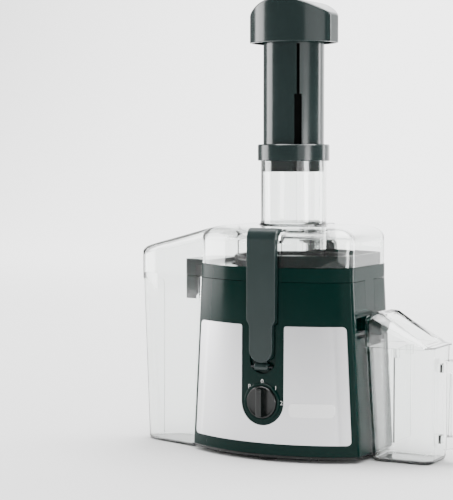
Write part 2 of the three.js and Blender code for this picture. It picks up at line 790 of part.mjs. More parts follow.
function lid() {
  const shell = join(lidDome(0, lidBottom), hood(0, ringBottom));
  const pads = bothSides((side) => latchSeat(side, latchInnerY - gap - lidWall - 0.4, latchHalfWidth + 4,
    lidBottom - 5, lidWall + 1));
  const hollow = join(cut(lidDome(lidWall, lidBottom - 1), ...pads), hood(lidWall, ringBottom - 1));
  const seatHalf = latchHalfWidth + latchSideGap;
  const seats = bothSides((side) => latchSeat(side, channelY, seatHalf, ringBottom - 5, gap));
  const overRing = block(-baseHalfWidth - 2 * gap, 200, -100, 100, ringBottom - 5, lidBottom);
  const tube = rod(chuteOuter, chuteBottomZ, chuteTop, 36);
  const bore = rod(chuteInner, chuteBottomZ - 1, chuteTop + 1, 36);
  const fillet = turned([
    [chuteOuter - 1, lidTop - 2], [chuteOuter + 3, lidTop - 2], [chuteOuter - 1, lidTop + 3],
    [chuteOuter - 1, lidTop - 2],
  ], 36);
  const rib = chuteRib(chuteInner - ribDepth, chuteInner + 1, ribWidth, lidTop, chuteTop - 2);
  const body = cut(shell, hollow, ...seats, overRing);
  return join(cut(join(body, tube, fillet), bore), rib);
}

function chuteCollar() {
  const inner = chuteOuter + gap;
  const bottom = chuteTop - collarHeight + 2;
  return turned([
    [inner, bottom], [collarOuter, bottom], [collarOuter, chuteTop + 2],
    [chuteInner + 0.5, chuteTop + 2], [chuteInner + 0.5, chuteTop + gap], [inner, chuteTop + gap],
    [inner, bottom],
  ], 36);
}

// ---- Pusher --------------------------------------------------------------------------------------
function pusherTube() {
  const top = pusherBottom + pusherLength;
  const tube = rod(pusherRadius, pusherBottom, top, 40);
  const inside = rod(pusherRadius - pusherWall, pusherBottom + 3, top + 1, 40);
  const keyway = ribWidth + 2 * runningGap + 1;
  const depth = ribDepth + 1;
  const inner = pusherRadius - depth - pusherWall;
  const backing = chuteRib(inner, pusherRadius - 1, keyway + 5, pusherBottom, top);
  const groove = chuteRib(pusherRadius - depth, pusherRadius + 3, keyway, pusherBottom - 1, capBottom - 2);
  return cut(join(cut(tube, inside), backing), groove);
}

function pusherCap() {
  const crown = (x) => capBottom + capEndHeight + capCrown * (1 - (x / capHalfWidth) ** 2);
  const plan = lens(capHalfWidth, capHalfDepth, capEndHalf, 0, 3, 10);
  const domed = (scale) => plan.map(([x, y]) => [x * scale, y * scale, crown(x * scale)]);
  const outer = loft([lifted(plan, capBottom), domed(1), domed(0.7), domed(0.35)]);
  const under = lens(capHalfWidth, capHalfDepth, capEndHalf, pusherWall, 3, 10);
  const ceiling = pusherBottom + pusherLength + gap;
  const hollow = loft([lifted(under, capBottom - 1), lifted(under, ceiling)]);
  const socketOuter = pusherRadius - pusherWall - 3.6;
  const socket = ring(socketOuter - 1.4, socketOuter, ceiling - socketDepth, ceiling + 1, 32);
  return join(cut(outer, hollow), cut(socket, chuteRib(20, 40, 14, ceiling - 20, ceiling - 0.1)));
}

// ---- Latches -------------------------------------------------------------------------------------
function latch(side) {
  const y = (value) => side * value;
  const slopeZ = hookLowZ + hookSlope * hookReach;
  const arm = frontProfile([
    [y(latchInnerY), latchPivotZ + 3], [y(latchInnerY), hookLowZ], [y(hookInnerY), slopeZ],
    [y(hookInnerY), latchTopZ], [y(latchInnerY - 2), latchTopZ], [y(latchOuterY - 4), latchTopZ - 2.5],
    [y(latchOuterY - 1), latchTopZ - 7], [y(latchOuterY), latchTopZ - 13], [y(latchOuterY), latchPivotZ + 3],
  ], -latchHalfWidth, latchHalfWidth);
  const tailRoundZ = latchTailZ + latchTailHalfWidth;
  const outline = [];
  for (let i = 0; i <= 8; i += 1) {
    const angle = Math.PI * (1 + i / 8);
    outline.push([latchTailHalfWidth * Math.cos(angle), tailRoundZ + latchTailHalfWidth * Math.sin(angle)]);
  }
  outline.push([latchTailHalfWidth, latchStepZ + 1], [latchHalfWidth, latchStepZ + 5]);
  outline.push([latchHalfWidth, latchTopZ + 5], [-latchHalfWidth, latchTopZ + 5]);
  outline.push([-latchHalfWidth, latchStepZ + 5]);
  outline.push([-latchTailHalfWidth, latchStepZ + 1]);
  const shaped = arm.intersect(sideProfile(outline, -baseHalfDepth - 20, baseHalfDepth + 20));
  const knuckle = rodAlongX(knuckleRadius, -knuckleHalf, knuckleHalf, y(latchPivotY), latchPivotZ, 20);
  const web = sideBlock(side, knuckleHalf, latchInnerY + 1, latchInnerY + 7, latchPivotZ, latchTailZ + 4);
  const bore = rodAlongX(latchPinRadius + gap, -20, 20, y(latchPivotY), latchPivotZ, 10);
  return cut(join(shaped, knuckle, web), bore);
}

// ---- Pulp container ------------------------------------------------------------------------------
function pulpContainer() {
  const top = ringBottom - 2 * gap;
  const wall = (inset, low) => {
    const plan = (z) => {
      const drop = 1 - z / baseHeight;
      return binPlan(binRight + binNearDraft * drop, binLeft - binDraft * drop, -2 * drop, inset);
    };
    return loft([lifted(plan(low), low), lifted(plan(top), inset ? top + 1 : top)]);
  };
  const notchHalf = binHalf - apronInset + gap;
  const notch = block(-binRight - 4.5, -80, -notchHalf, notchHalf, apronBottom - 4, top + 5);
  return cut(wall(0, 0), wall(binWall, binWall + 0.5), notch);
}

// ---- Juice jug -----------------------------------------------------------------------------------
function jugSolid(inset, low, top) {
  const plan = (z) => {
    const drop = 1 - z / jugHeight;
    return roundedPlan(jugNear + jugDraft * drop + inset, jugFar - 2 * drop - inset,
      jugHalfDepth - jugDraft * drop - inset, 12 - inset);
  };
  return loft([lifted(plan(low), low), lifted(plan(jugHeight), top)]);
}

function juiceJug() {
  const body = cut(jugSolid(0, 0, jugHeight), jugSolid(jugWall, jugWall + 0.5, jugHeight + 1));
  const lugs = [28, 112].map((z) => block(jugFar - 4, jugFar + 5, -6, 6, z - 5, z + 5));
  return join(body, ...lugs.map((lug) => cut(lug, jugSolid(jugWall / 2, 1, jugHeight + 1))));
}

function jugHandle() {
  const inner = jugFar + 5 + gap;
  const outer = jugFar + handleReach;
  const grip = sideProfile([
    [inner, 16], [outer - 8, 20], [outer, 30], [outer, 108], [outer - 8, 120], [inner, 122],
  ], -9, 9);
  const hole = sideProfile([[inner + 4, 32], [outer - 12, 34], [outer - 12, 106], [inner + 4, 108]], -10, 10);
  return cut(grip, hole);
}

function jugLid() {
  const low = jugHeight + gap;
  const slope = (jugLidPeak - jugLidTail) / jugLength;
  const top = (x) => low + jugLidPeak - slope * (x - jugNear);
  const shape = (inset, bottom) => {
    const plan = roundedPlan(jugNear - 1 + inset, jugFar + 1 - inset, jugHalfDepth + 0.5 - inset, 10 - inset);
    const inner = plan.map(([x, y]) => [x, y, top(x) - inset * 1.1]);
    return loft([lifted(plan, bottom), inner]);
  };
  const mouthHalf = jugHalfDepth - 8;
  const mouth = block(jugNear - 10, jugNear + 8, -mouthHalf, mouthHalf, low + 3, top(jugNear) - 5);
  const under = block(jugNear - 10, jugNear + 30, -spoutHalf - 4, spoutHalf + 4, low - 1, low + 8);
  return cut(shape(0, low), shape(2, low - 1), mouth, under);
}

function frothSeparator() {
  const x = jugNear + jugLength * 0.42;
  const plate = block(x - 1, x + 1, -jugHalfDepth + 10, jugHalfDepth - 10, 24, jugHeight - 2);
  const hooks = [-1, 1].map((side) => {
    const y = side * (jugHalfDepth - 14);
    return block(x - 5, x + 5, y - 2, y + 2, jugHeight - 12, jugHeight - 2);
  });
  return join(plate, ...hooks);
}

// ---- Assembly ------------------------------------------------------------------------------------
piece('motor_housing', housing(), darkPlastic());
piece('base_plate', basePlate(), blackPlastic());
piece('front_steel_panel', steelPanel(), steel());
piece('badge_plate', badge(), finish(0xf0f0f0, 0.3, 0));
piece('control_bezel', controlBezel(), blackPlastic());
piece('speed_knob', knob(), blackPlastic());
piece('rotary_switch', rotarySwitch(), blackPlastic());

const footSpots = [[0, -footSpotY], [footSpotX, 36], [0, footSpotY], [-footSpotX, 36]];
footSpots.forEach(([x, y], i) => {
  piece(`rubber_foot_${i + 1}`, rod(footRadius, 0, footHeight - gap, 20, x, y), rubber());
});

piece('lower_motor_bracket', bracket(lowerBracketZ, bearingRadius + gap), finish(0xb8bbbe, 0.4, 1));
piece('upper_motor_bracket', bracket(upperBracketZ, bearingRadius + gap), finish(0xb8bbbe, 0.4, 1));
boltSpots.forEach(([x, y], i) => {
  const top = upperBracketZ + bracketThickness;
  const bolt = rod(2.5, lowerBracketZ + gap, top, 8, x * boltOffset, y * boltOffset);
  piece(`motor_tie_bolt_${i + 1}`, bolt, steel());
});
piece('stator_core', stator(), iron());
piece('field_coil_left', fieldCoil(-1), copper());
piece('field_coil_right', fieldCoil(1), copper());
piece('brush_holder_front', brushHolder(-1), finish(0xa88a50, 0.4, 1));
piece('brush_holder_rear', brushHolder(1), finish(0xa88a50, 0.4, 1));
piece('carbon_brush_front', carbonBrush(-1), finish(0x2b2b2b, 0.7, 0));
piece('carbon_brush_rear', carbonBrush(1), finish(0x2b2b2b, 0.7, 0));
const bearingZ = [lowerBracketZ, upperBracketZ];
['lower_bearing', 'upper_bearing'].forEach((name, i) => {
  piece(name, sleeve(bearingRadius, bearingZ[i] - 1, bearingZ[i] - 1 + bearingHeight), steel());
});
piece('shaft_seal', ring(couplingRadius + gap, sealRadius, deckHeight - 3, deckHeight, 24), rubber());
piece('circuit_board', block(-88, -60, -30, 30, 30, 31.6), finish(0x2f6b3a, 0.6, 0));
piece('safety_microswitch', block(-10, 10, 62, 74, 130, 144), blackPlastic());
const gland = cut(join(rodAlongY(6, 76, 90, -55, 32, 16), rodAlongY(8.5, 84, 88, -55, 32, 20)),
  rodAlongY(3.2, 60, 100, -55, 32, 12));
piece('cord_inlet', gland, blackPlastic());
bothSides((side) => {
  const half = knuckleHalf + 5;
  const pin = rodAlongX(latchPinRadius, -half, half, side * latchPivotY, latchPivotZ, 10);
  piece(side < 0 ? 'latch_pin_front' : 'latch_pin_rear', pin, steel());
});
piece('juice_bowl', juiceBowl(), darkPlastic());

piece('motor_shaft', rod(shaftRadius, shaftLow, shaftTop, 16), steel());
piece('armature_core', armatureCore(), iron());
piece('armature_winding', sleeve(armatureRadius - 3, statorHigh - 2 + gap, statorHigh + 10, 20), copper());
piece('commutator', sleeve(commutatorRadius, commutatorZ, commutatorZ + 13, 24), copper());
piece('cooling_fan', fan(), finish(0xd8d8d0, 0.5, 0));
piece('drive_coupling', driveCoupling(), blackPlastic());
piece('basket_hub', basketHub(), blackPlastic());
piece('grating_disc', gratingDisc(), steel());
piece('sieve_cone', sieveCone(), steel());
const rimLow = sieveTopZ + gap;
piece('basket_rim', ring(rimRadius - 5, rimRadius, rimLow, rimLow + rimHeight, 36), blackPlastic());

piece('lid', lid(), clearFinish());
piece('chute_collar', chuteCollar(), darkPlastic());
piece('pusher_tube', pusherTube(), darkPlastic());
piece('pusher_cap', pusherCap(), darkPlastic());
piece('latch_front', latch(-1), darkPlastic());
piece('latch_rear', latch(1), darkPlastic());
piece('pulp_container', pulpContainer(), clearFinish());
piece('juice_jug', juiceJug(), clearFinish());
piece('jug_handle', jugHandle(), clearFinish());
piece('froth_separator', frothSeparator(), clearFinish());
piece('jug_lid', jugLid(), clearFinish());

// The origin is the middle of the whole outline, on the surface that the juicer stands on.
const middleX = (jugFar + handleReach - binLeft) / 2;
const middleY = (latchOuterY - (frontY + 2 * gap + knobDepth)) / 2;
juicer.position.set(-middleX, -middleY, 0);

export default juicer;
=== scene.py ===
"""A countertop centrifugal juicer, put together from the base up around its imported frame."""
import math

import bpy
from mathutils import Matrix, Vector


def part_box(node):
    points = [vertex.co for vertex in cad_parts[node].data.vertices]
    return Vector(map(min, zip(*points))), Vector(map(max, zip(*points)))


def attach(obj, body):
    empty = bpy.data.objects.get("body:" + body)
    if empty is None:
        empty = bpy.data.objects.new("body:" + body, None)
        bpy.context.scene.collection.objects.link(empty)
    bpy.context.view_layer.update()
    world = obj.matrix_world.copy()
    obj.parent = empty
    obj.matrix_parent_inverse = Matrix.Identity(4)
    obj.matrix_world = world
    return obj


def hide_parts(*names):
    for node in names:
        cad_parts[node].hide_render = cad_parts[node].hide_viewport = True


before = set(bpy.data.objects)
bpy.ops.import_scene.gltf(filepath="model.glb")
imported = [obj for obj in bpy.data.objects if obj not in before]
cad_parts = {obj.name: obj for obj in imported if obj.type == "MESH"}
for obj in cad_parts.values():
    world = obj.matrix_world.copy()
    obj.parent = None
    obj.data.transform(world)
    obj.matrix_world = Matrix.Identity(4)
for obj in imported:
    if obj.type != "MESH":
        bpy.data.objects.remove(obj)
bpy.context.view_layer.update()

# ---- Camera ----------------------------------------------------------------------------------------
# A tripod view from the front right, two metres away, with a long lens that looks slightly down. The
# drive axis is the middle of the motor shaft, and everything round is placed from it.
mm = 0.001
shaft_low, shaft_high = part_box("motor_shaft")
axis_x = (shaft_low.x + shaft_high.x) / 2
axis_y = (shaft_low.y + shaft_high.y) / 2


def at(x, y, z):
    """A place given in millimetres from the drive axis and the table."""
    return Vector((axis_x + x * mm, axis_y + y * mm, z * mm))


camera_distance = 2.0
camera_height = 0.367
camera_turn = math.radians(25)
camera_lens = 118.08
camera_pan = math.radians(2.3394)
camera_tilt = math.radians(3.4893)

bpy.ops.object.camera_add(location=(axis_x + camera_distance * math.sin(camera_turn),
                                    axis_y - camera_distance * math.cos(camera_turn), camera_height))
camera = bpy.context.object
camera.name = "tripod_camera"
camera.data.lens = camera_lens
camera.rotation_euler = (math.radians(90) - camera_tilt, 0, camera_turn + camera_pan)
bpy.context.scene.camera = camera


# ---- Floor and light -------------------------------------------------------------------------------
# A pale paper sweep under and behind the juicer. A tall soft box lights it from the left, two softer
# ones and a rim strip from the right, one from overhead, and a lamp of its own lights the backdrop.
def srgb(colour):
    """A colour written as on screen, such as 'e4e4e4', as the linear RGBA that a shader takes."""
    channels = [int(colour[i:i + 2], 16) / 255 for i in (0, 2, 4)]
    return [c / 12.92 if c <= 0.04045 else ((c + 0.055) / 1.055) ** 2.4 for c in channels] + [1.0]


def new_material(name):
    """An empty node material and its tree, ready for a shader."""
    material = bpy.data.materials.new(name)
    material.use_nodes = True
    material.node_tree.nodes.clear()
    return material, material.node_tree


def add_node(tree, kind, inputs=None, **settings):
    """Adds a node. An input takes a number or colour, or is linked when it is given a socket."""
    node = tree.nodes.new("ShaderNode" + kind)
    for key, value in settings.items():
        setattr(node, key, value)
    for key, value in (inputs or {}).items():
        if isinstance(value, bpy.types.NodeSocket):
            tree.links.new(value, node.inputs[key])
        else:
            node.inputs[key].default_value = value
    return node


def finish_material(material, shader):
    """Sends the shader to the material's output."""
    add_node(material.node_tree, "OutputMaterial", {"Surface": shader.outputs[0]})
    return material


def start_piece(name, primitive, **settings):
    """Adds a primitive with nothing else selected, and puts its place into its mesh."""
    bpy.ops.object.select_all(action="DESELECT")
    primitive(**settings)
    piece = bpy.context.object
    piece.name = name
    piece.data.name = name
    bpy.ops.object.transform_apply(location=True, rotation=True, scale=True)
    return piece


def select_where(piece, kind, test):
    """Opens edit mode with only the 'VERT', 'EDGE' or 'FACE' elements selected whose middle passes."""
    bpy.ops.object.select_all(action="DESELECT")
    piece.select_set(True)
    bpy.context.view_layer.objects.active = piece
    bpy.ops.object.mode_set(mode="EDIT")
    bpy.ops.mesh.select_mode(type=kind)
    bpy.ops.mesh.select_all(action="DESELECT")
    bpy.ops.object.mode_set(mode="OBJECT")
    mesh = piece.data
    if kind == "VERT":
        for vertex in mesh.vertices:
            vertex.select = bool(test(vertex.co))
    elif kind == "EDGE":
        for edge in mesh.edges:
            ends = [mesh.vertices[i].co for i in edge.vertices]
            edge.select = bool(test(ends[0], ends[1]))
    else:
        for face in mesh.polygons:
            face.select = bool(test(face.center, face.normal))
    bpy.ops.object.mode_set(mode="EDIT")


def close_edit():
    bpy.ops.object.mode_set(mode="OBJECT")


def round_where(piece, test, radius, segments):
    """Rounds the edges whose two ends pass a test."""
    select_where(piece, "EDGE", test)
    bpy.ops.mesh.bevel(offset=radius, segments=segments)
    close_edit()


paper_size = 9.0
paper = start_piece("paper_sweep", bpy.ops.mesh.primitive_plane_add, size=paper_size,
                    location=(0, paper_size * 0.16, 0))
select_where(paper, "EDGE", lambda a, b: a.y > 3 and b.y > 3)
bpy.ops.mesh.extrude_region_move(TRANSFORM_OT_translate={"value": (0, 0, 6)})
close_edit()
round_where(paper, lambda a, b: a.y > 3 and b.y > 3 and a.z < 0.01 and b.z < 0.01, 2.5, 24)
bpy.ops.object.shade_smooth()
paper_stock, tree = new_material("pale_studio_paper")
paper_stock = finish_material(paper_stock, add_node(tree, "BsdfPrincipled", {
    "Base Color": srgb("e6e6e6"), "Roughness": 0.9, "Specular IOR Level": 0.1}))
paper.data.materials.append(paper_stock)


def soft_box(name, width, height, watts, place, aim=(0, 0, 0.25)):
    """A rectangular studio light at a place, turned to face a point."""
    bpy.ops.object.light_add(type="AREA", location=place)
    lamp = bpy.context.object
    lamp.name = name
    lamp.data.shape = "RECTANGLE"
    lamp.data.size = width
    lamp.data.size_y = height
    lamp.data.energy = watts
    lamp.rotation_euler = (Vector(place) - Vector(aim)).to_track_quat("Z", "Y").to_euler()
    return lamp


soft_box("left_soft_box", 1.4, 2.0, 82, (-2.45, -0.43, 0.8))
soft_box("right_strip_box", 0.35, 1.8, 22, (1.4, 1.6, 0.7))
soft_box("front_right_soft_box", 2.6, 1.8, 22, (2.5, -1.35, 0.9))
soft_box("low_right_soft_box", 0.5, 0.3, 9, (1.7, -0.62, 0.2), (0.05, -0.09, 0.06))
soft_box("overhead_soft_box", 2.6, 2.6, 225, (0.1, 0.3, 2.6))
soft_box("backdrop_lamp", 5.0, 2.0, 820, (-1.6, 2.6, 3.6), (-1.6, 5.9, 1.2))
world = bpy.data.worlds.new("studio_air")
bpy.context.scene.world = world
world.use_nodes = True
world.node_tree.nodes["Background"].inputs["Color"].default_value = srgb("f2f2f2")
world.node_tree.nodes["Background"].inputs["Strength"].default_value = 0.33


# ---- Motor housing ---------------------------------------------------------------------------------
# The dark outer casing: one ABS moulding, lens-shaped in plan with flat ends, flaring towards the
# table. Channels for the latches run down its front and back, and the right end is open for the spout.
def settle(piece):
    """Makes a piece the only one selected and the active one."""
    bpy.ops.object.select_all(action="DESELECT")
    piece.select_set(True)
    bpy.context.view_layer.objects.active = piece
    return piece


def apply_modifier(piece, kind, **settings):
    """Adds a modifier with its settings and applies it."""
    settle(piece)
    modifier = piece.modifiers.new(kind.lower(), kind)
    for key, value in settings.items():
        setattr(modifier, key, value)
    bpy.ops.object.modifier_apply(modifier=modifier.name)
    return piece


def combine(piece, *others, how="DIFFERENCE"):
    """Cuts the others out of a piece, or joins or intersects them with it, and uses them up."""
    for other in others:
        apply_modifier(piece, "BOOLEAN", object=other, operation=how, solver="EXACT")
        bpy.data.objects.remove(other)
    return piece


def ease_edges(piece, width, segments=3, sharper_than=35):
    """Rounds every edge that is sharper than an angle, as a mould or a press leaves it."""
    return apply_modifier(piece, "BEVEL", width=width, segments=segments, limit_method="ANGLE",
                          angle_limit=math.radians(sharper_than), harden_normals=False)


def smooth(piece, angle=32):
    settle(piece)
    bpy.ops.object.shade_smooth_by_angle(angle=math.radians(angle))
    return apply_modifier(piece, "WEIGHTED_NORMAL", weight=50, keep_sharp=True)


def slice_off(piece, point, normal):
    """Cuts away what lies beyond a plane, on the side that the normal points to, and closes the cut."""
    select_where(piece, "VERT", lambda spot: True)
    bpy.ops.mesh.bisect(plane_co=point, plane_no=normal, use_fill=True, clear_outer=True)
    close_edit()


def box_block(name, low, high):
    """A rectangular block between two corners."""
    size = [high[i] - low[i] for i in range(3)]
    return start_piece(name, bpy.ops.mesh.primitive_cube_add, size=1,
                       location=[(high[i] + low[i]) / 2 for i in range(3)], scale=size)


def rod(name, radius, start, end, vertices=64):
    """A round bar from one point to another."""
    turn = (end - start).to_track_quat("Z", "Y").to_euler()
    return start_piece(name, bpy.ops.mesh.primitive_cylinder_add, vertices=vertices, radius=radius,
                       depth=(end - start).length, location=(start + end) / 2, rotation=turn)


def scale_level(piece, height, factor):
    """Scales the corners of a piece that lie at one height about the drive axis."""
    select_where(piece, "VERT", lambda spot: abs(spot.z - height) < 0.05 * mm)
    bpy.ops.transform.resize(value=(factor[0], factor[1], 1), center_override=(axis_x, axis_y, height))
    close_edit()


def lens_block(name, half_width, half_depth, end_half, low, high, inset=0, corner=8 * mm):
    """A block with the juicer's plan: two arcs, flat ends and rounded corners."""
    rise = half_depth - end_half
    radius = (half_width ** 2 + rise ** 2) / (2 * rise)
    depth, middle = high - low, (high + low) / 2
    discs = [start_piece(name + side, bpy.ops.mesh.primitive_cylinder_add, vertices=192,
                         radius=radius - inset, depth=depth,
                         location=(axis_x, axis_y + sign * (radius - half_depth), middle))
             for side, sign in (("_front", 1), ("_back", -1))]
    block = combine(discs[0], discs[1], how="INTERSECT")
    block.name = block.data.name = name
    for side in (-1, 1):
        slice_off(block, (axis_x + side * (half_width - inset), axis_y, middle), (side, 0, 0))
    end = half_width - inset - 0.02 * mm
    round_where(block, lambda a, b: abs(a.z - b.z) > depth / 2
                and abs(a.x - axis_x) > end and abs(b.x - axis_x) > end, corner - inset / 2, 8)
    return block


def base_block(name, low, high, inset=0):
    """The lens plan as the motor base flares it between two heights."""
    block = lens_block(name, base_top_half_width, base_top_half_depth, base_end_half, low, high, inset)
    for height in (low, high):
        drop = (base_top - min(height, base_top)) / base_top
        scale_level(block, height, (1 + base_flare / base_top_half_width * drop,
                                    1 + base_depth_flare / base_top_half_depth * drop))
    return block


housing_low, housing_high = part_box("motor_housing")
base_top = housing_high.z
base_top_half_width = 100 * mm
base_top_half_depth = 85 * mm
base_end_half = 52 * mm
base_flare = 11 * mm
base_depth_flare = 2 * mm
housing_wall = 2.6 * mm
deck = 152
knob_height = 70
channel_y = 82.0
recess_low, recess_high, recess_half, recess_floor = 145, 170, 45, 96
latch_sides = (("front", -1), ("rear", 1))


def latch_channel(name, side, top):
    """A block that cuts the channel of one latch: side -1 is the front and 1 the back."""
    wide_half, round_half, round_middle, step = 20.1, 16.6, 120.1, 162
    near, far = sorted((side * channel_y, side * 120))
    wide = box_block(name, at(-wide_half, near, step), at(wide_half, far, top))
    narrow = box_block("narrow", at(-round_half, near, round_middle), at(round_half, far, step + 1))
    foot = rod("foot", round_half * mm, at(0, near, round_middle), at(0, far, round_middle))
    return combine(wide, narrow, foot, how="UNION")


def channel_back(name, side, low, high):
    """The wall behind a channel, which keeps the casing closed."""
    near, far = sorted((side * (channel_y - 2.6), side * (channel_y + 1.2)))
    return box_block(name, at(-23.5, near, low), at(23.5, far, high))


housing_top = base_top / mm
housing = base_block("housing_shell", housing_low.z, base_top)
combine(housing, base_block("lower_room", housing_low.z - 2 * mm, (deck - 3) * mm, housing_wall),
        base_block("upper_room", deck * mm, base_top + 2 * mm, housing_wall))
combine(housing, *[channel_back(end + "_back", side, 94, housing_top) for end, side in latch_sides],
        box_block("recess_pad", at(recess_floor - 3, -recess_half - 3, recess_low - 3),
                  at(101, recess_half + 3, recess_high + 3)), how="UNION")
combine(housing, *[latch_channel(end + "_channel", side, housing_top + 5) for end, side in latch_sides],
        box_block("recess", at(recess_floor, -recess_half, recess_low), at(130, recess_half, recess_high)),
        box_block("spout_notch", at(80, -14.3, deck), at(130, 14.3, housing_top + 2)),
        rod("knob_hole", 4.2 * mm, at(0, -100, knob_height), at(0, -70, knob_height)),
        rod("gland_hole", 6.3 * mm, at(-55, 70, 32), at(-55, 100, 32)))
ease_edges(housing, 0.7 * mm)
smooth(housing)


def textured_material(name):
    """A new material, its tree, and the place on the piece that its textures are laid by."""
    material, tree = new_material(name)
    return material, tree, add_node(tree, "TexCoord").outputs["Object"]


# The casing's ABS is dyed a very dark green-black and polished in the mould: an even gloss, with the
# faint waviness of moulded plastic in its reflections and a little haze from handling.
def moulded_plastic(name, colour, roughness, wave=0.12, grain_size=0.9, shine=0.5):
    """Moulded plastic. grain_size is the width in millimetres of the mould's surface texture."""
    material, tree, place = textured_material(name)
    handling = add_node(tree, "TexNoise", {"Vector": place, "Scale": 22.0, "Detail": 4.0, "Roughness": 0.6})
    haze = add_node(tree, "MapRange", {"Value": handling.outputs["Fac"], "From Min": 0.3, "From Max": 0.7,
                                       "To Min": roughness * 0.85, "To Max": roughness * 1.2})
    dark = [c * 0.9 for c in srgb(colour)[:3]] + [1.0]
    light = [min(1.0, c * 1.12) for c in srgb(colour)[:3]] + [1.0]
    tint = add_node(tree, "Mix", {"Factor": handling.outputs["Fac"], "A": dark, "B": light}, data_type="RGBA")
    grain = add_node(tree, "TexNoise", {"Vector": place, "Scale": 1 / (grain_size * mm), "Detail": 2.0})
    relief = add_node(tree, "Bump", {"Height": grain.outputs["Fac"], "Strength": wave, "Distance": 0.05 * mm})
    shader = add_node(tree, "BsdfPrincipled", {
        "Base Color": tint.outputs["Result"], "Roughness": haze.outputs["Result"], "IOR": 1.54,
        "Specular IOR Level": shine, "Normal": relief.outputs["Normal"]})
    return finish_material(material, shader)


def dress(piece, material, body, slot, *nodes):
    """Gives a piece its material, the body that it rides on and the frame nodes that it stands for."""
    piece.data.materials.clear()
    piece.data.materials.append(material)
    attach(piece, body)
    if nodes:
        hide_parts(*nodes)
    return piece


glossy_abs = moulded_plastic("polished_green_black_abs", "001d19", 0.15, shine=0.09)
dress(housing, glossy_abs, "base", "dark_plastic", "motor_housing")


# ---- Base plate and feet ---------------------------------------------------------------------------
# A shallow moulded tray closes the base, slightly inside the casing's edge, with two small tabs under
# its front and four round rubber feet.
tray_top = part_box("base_plate")[1].z
plate_top = housing_low.z / mm - 0.3
tray = base_block("base_tray", 5 * mm, plate_top * mm, 0.8 * mm)
inner_rim = base_block("tray_rim", 7 * mm, tray_top, 2.9 * mm)
combine(inner_rim, base_block("tray_room", plate_top * mm, tray_top + 1 * mm, 5 * mm))
combine(tray, inner_rim, how="UNION")
for tab_x in (-60, 60):
    combine(tray, box_block("tray_tab", at(tab_x - 4, -71, 2.5), at(tab_x + 4, -67, 6)), how="UNION")
ease_edges(tray, 0.4 * mm, 2)
smooth(tray)
satin_black = moulded_plastic("satin_black_abs", "0c0f0e", 0.42, shine=0.35)
dress(tray, satin_black, "base", "black_plastic", "base_plate")

# Rubber is dull, and its grip side is slightly bellied.
foot_rubber = moulded_plastic("foot_rubber", "0d0d0d", 0.85, wave=0.3, grain_size=0.4)
for number in range(1, 5):
    foot_low, foot_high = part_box(f"rubber_foot_{number}")
    foot = start_piece(f"foot_{number}", bpy.ops.mesh.primitive_cylinder_add, vertices=64,
                       radius=(foot_high.x - foot_low.x) / 2, depth=foot_high.z - foot_low.z,
                       location=(foot_low + foot_high) / 2)
    ease_edges(foot, 1.2 * mm, 4)
    smooth(foot, 40)
    dress(foot, foot_rubber, "base", "rubber", f"rubber_foot_{number}")


# ---- Steel trim ------------------------------------------------------------------------------------
# One thin stainless plate wraps round the front, cut away in a round-bottomed column for the knob and
# the latch. Its corners are radiused and its edges are just broken.
steel_low, steel_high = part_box("front_steel_panel")
steel_bottom, steel_top = steel_low.z / mm, steel_high.z / mm
column_half = 27.5
trim_half_low, trim_half_high = 102.9, 95.65
trim_face, trim_back = 1.1, 0.3
steel = base_block("steel_trim", steel_low.z, steel_high.z, -trim_face * mm)
combine(steel, base_block("steel_inside", steel_low.z - 1 * mm, steel_high.z + 1 * mm, -trim_back * mm))
outline = box_block("trim_outline", at(-trim_half_low, -120, steel_bottom + 0.05),
                    at(trim_half_low, -20, steel_top - 0.05))
scale_level(outline, (steel_top - 0.05) * mm, (trim_half_high / trim_half_low, 1))
column = box_block("column", at(-column_half, -130, knob_height), at(column_half, -10, steel_top + 5))
combine(column, rod("column_foot", column_half * mm, at(0, -130, knob_height), at(0, -10, knob_height), 96),
        how="UNION")
combine(outline, column)
for corner_x, corner_radius in ((column_half, 2.5), (trim_half_high, 5), (trim_half_low, 5)):
    round_where(outline, lambda a, b: abs(a.y - b.y) > 50 * mm
                and abs(abs(a.x - axis_x) - corner_x * mm) < 0.2 * mm
                and (a.z < (steel_bottom + 1) * mm or a.z > (steel_top - 1) * mm), corner_radius * mm, 8)
combine(steel, outline, how="INTERSECT")
ease_edges(steel, 0.2 * mm, 2)
smooth(steel)


# Stainless sheet, brushed level: its lines are drawn out along the brush, and they spread every
# highlight up and down the plate.
def brushed_metal(name, colour, roughness, line_width=0.25, line_length=40, relief=0.1, metallic=1.0):
    """Brushed metal. line_width and line_length are the brush lines' size in millimetres."""
    material, tree, place = textured_material(name)
    stretch = add_node(tree, "Mapping", {
        "Vector": place, "Scale": (1 / (line_length * mm), 1 / (line_length * mm), 1 / (line_width * mm))})
    lines = add_node(tree, "TexNoise", {"Vector": stretch.outputs["Vector"], "Scale": 1.0, "Detail": 3.0,
                                        "Roughness": 0.6})
    rough = add_node(tree, "MapRange", {"Value": lines.outputs["Fac"], "To Min": roughness * 0.85,
                                        "To Max": roughness * 1.2})
    dark = [c * 0.94 for c in srgb(colour)[:3]] + [1.0]
    tint = add_node(tree, "Mix", {"Factor": lines.outputs["Fac"], "A": dark, "B": srgb(colour)},
                    data_type="RGBA")
    grooves = add_node(tree, "Bump", {"Height": lines.outputs["Fac"], "Strength": relief,
                                      "Distance": 0.02 * mm})
    shader = add_node(tree, "BsdfPrincipled", {
        "Base Color": tint.outputs["Result"], "Metallic": metallic, "Roughness": rough.outputs["Result"],
        "Anisotropic": 0.5, "Normal": grooves.outputs["Normal"]})
    return finish_material(material, shader)


brushed_stainless = brushed_metal("brushed_stainless", "dcdcde", 0.3)
dress(steel, brushed_stainless, "base", "brushed_steel", "front_steel_panel")

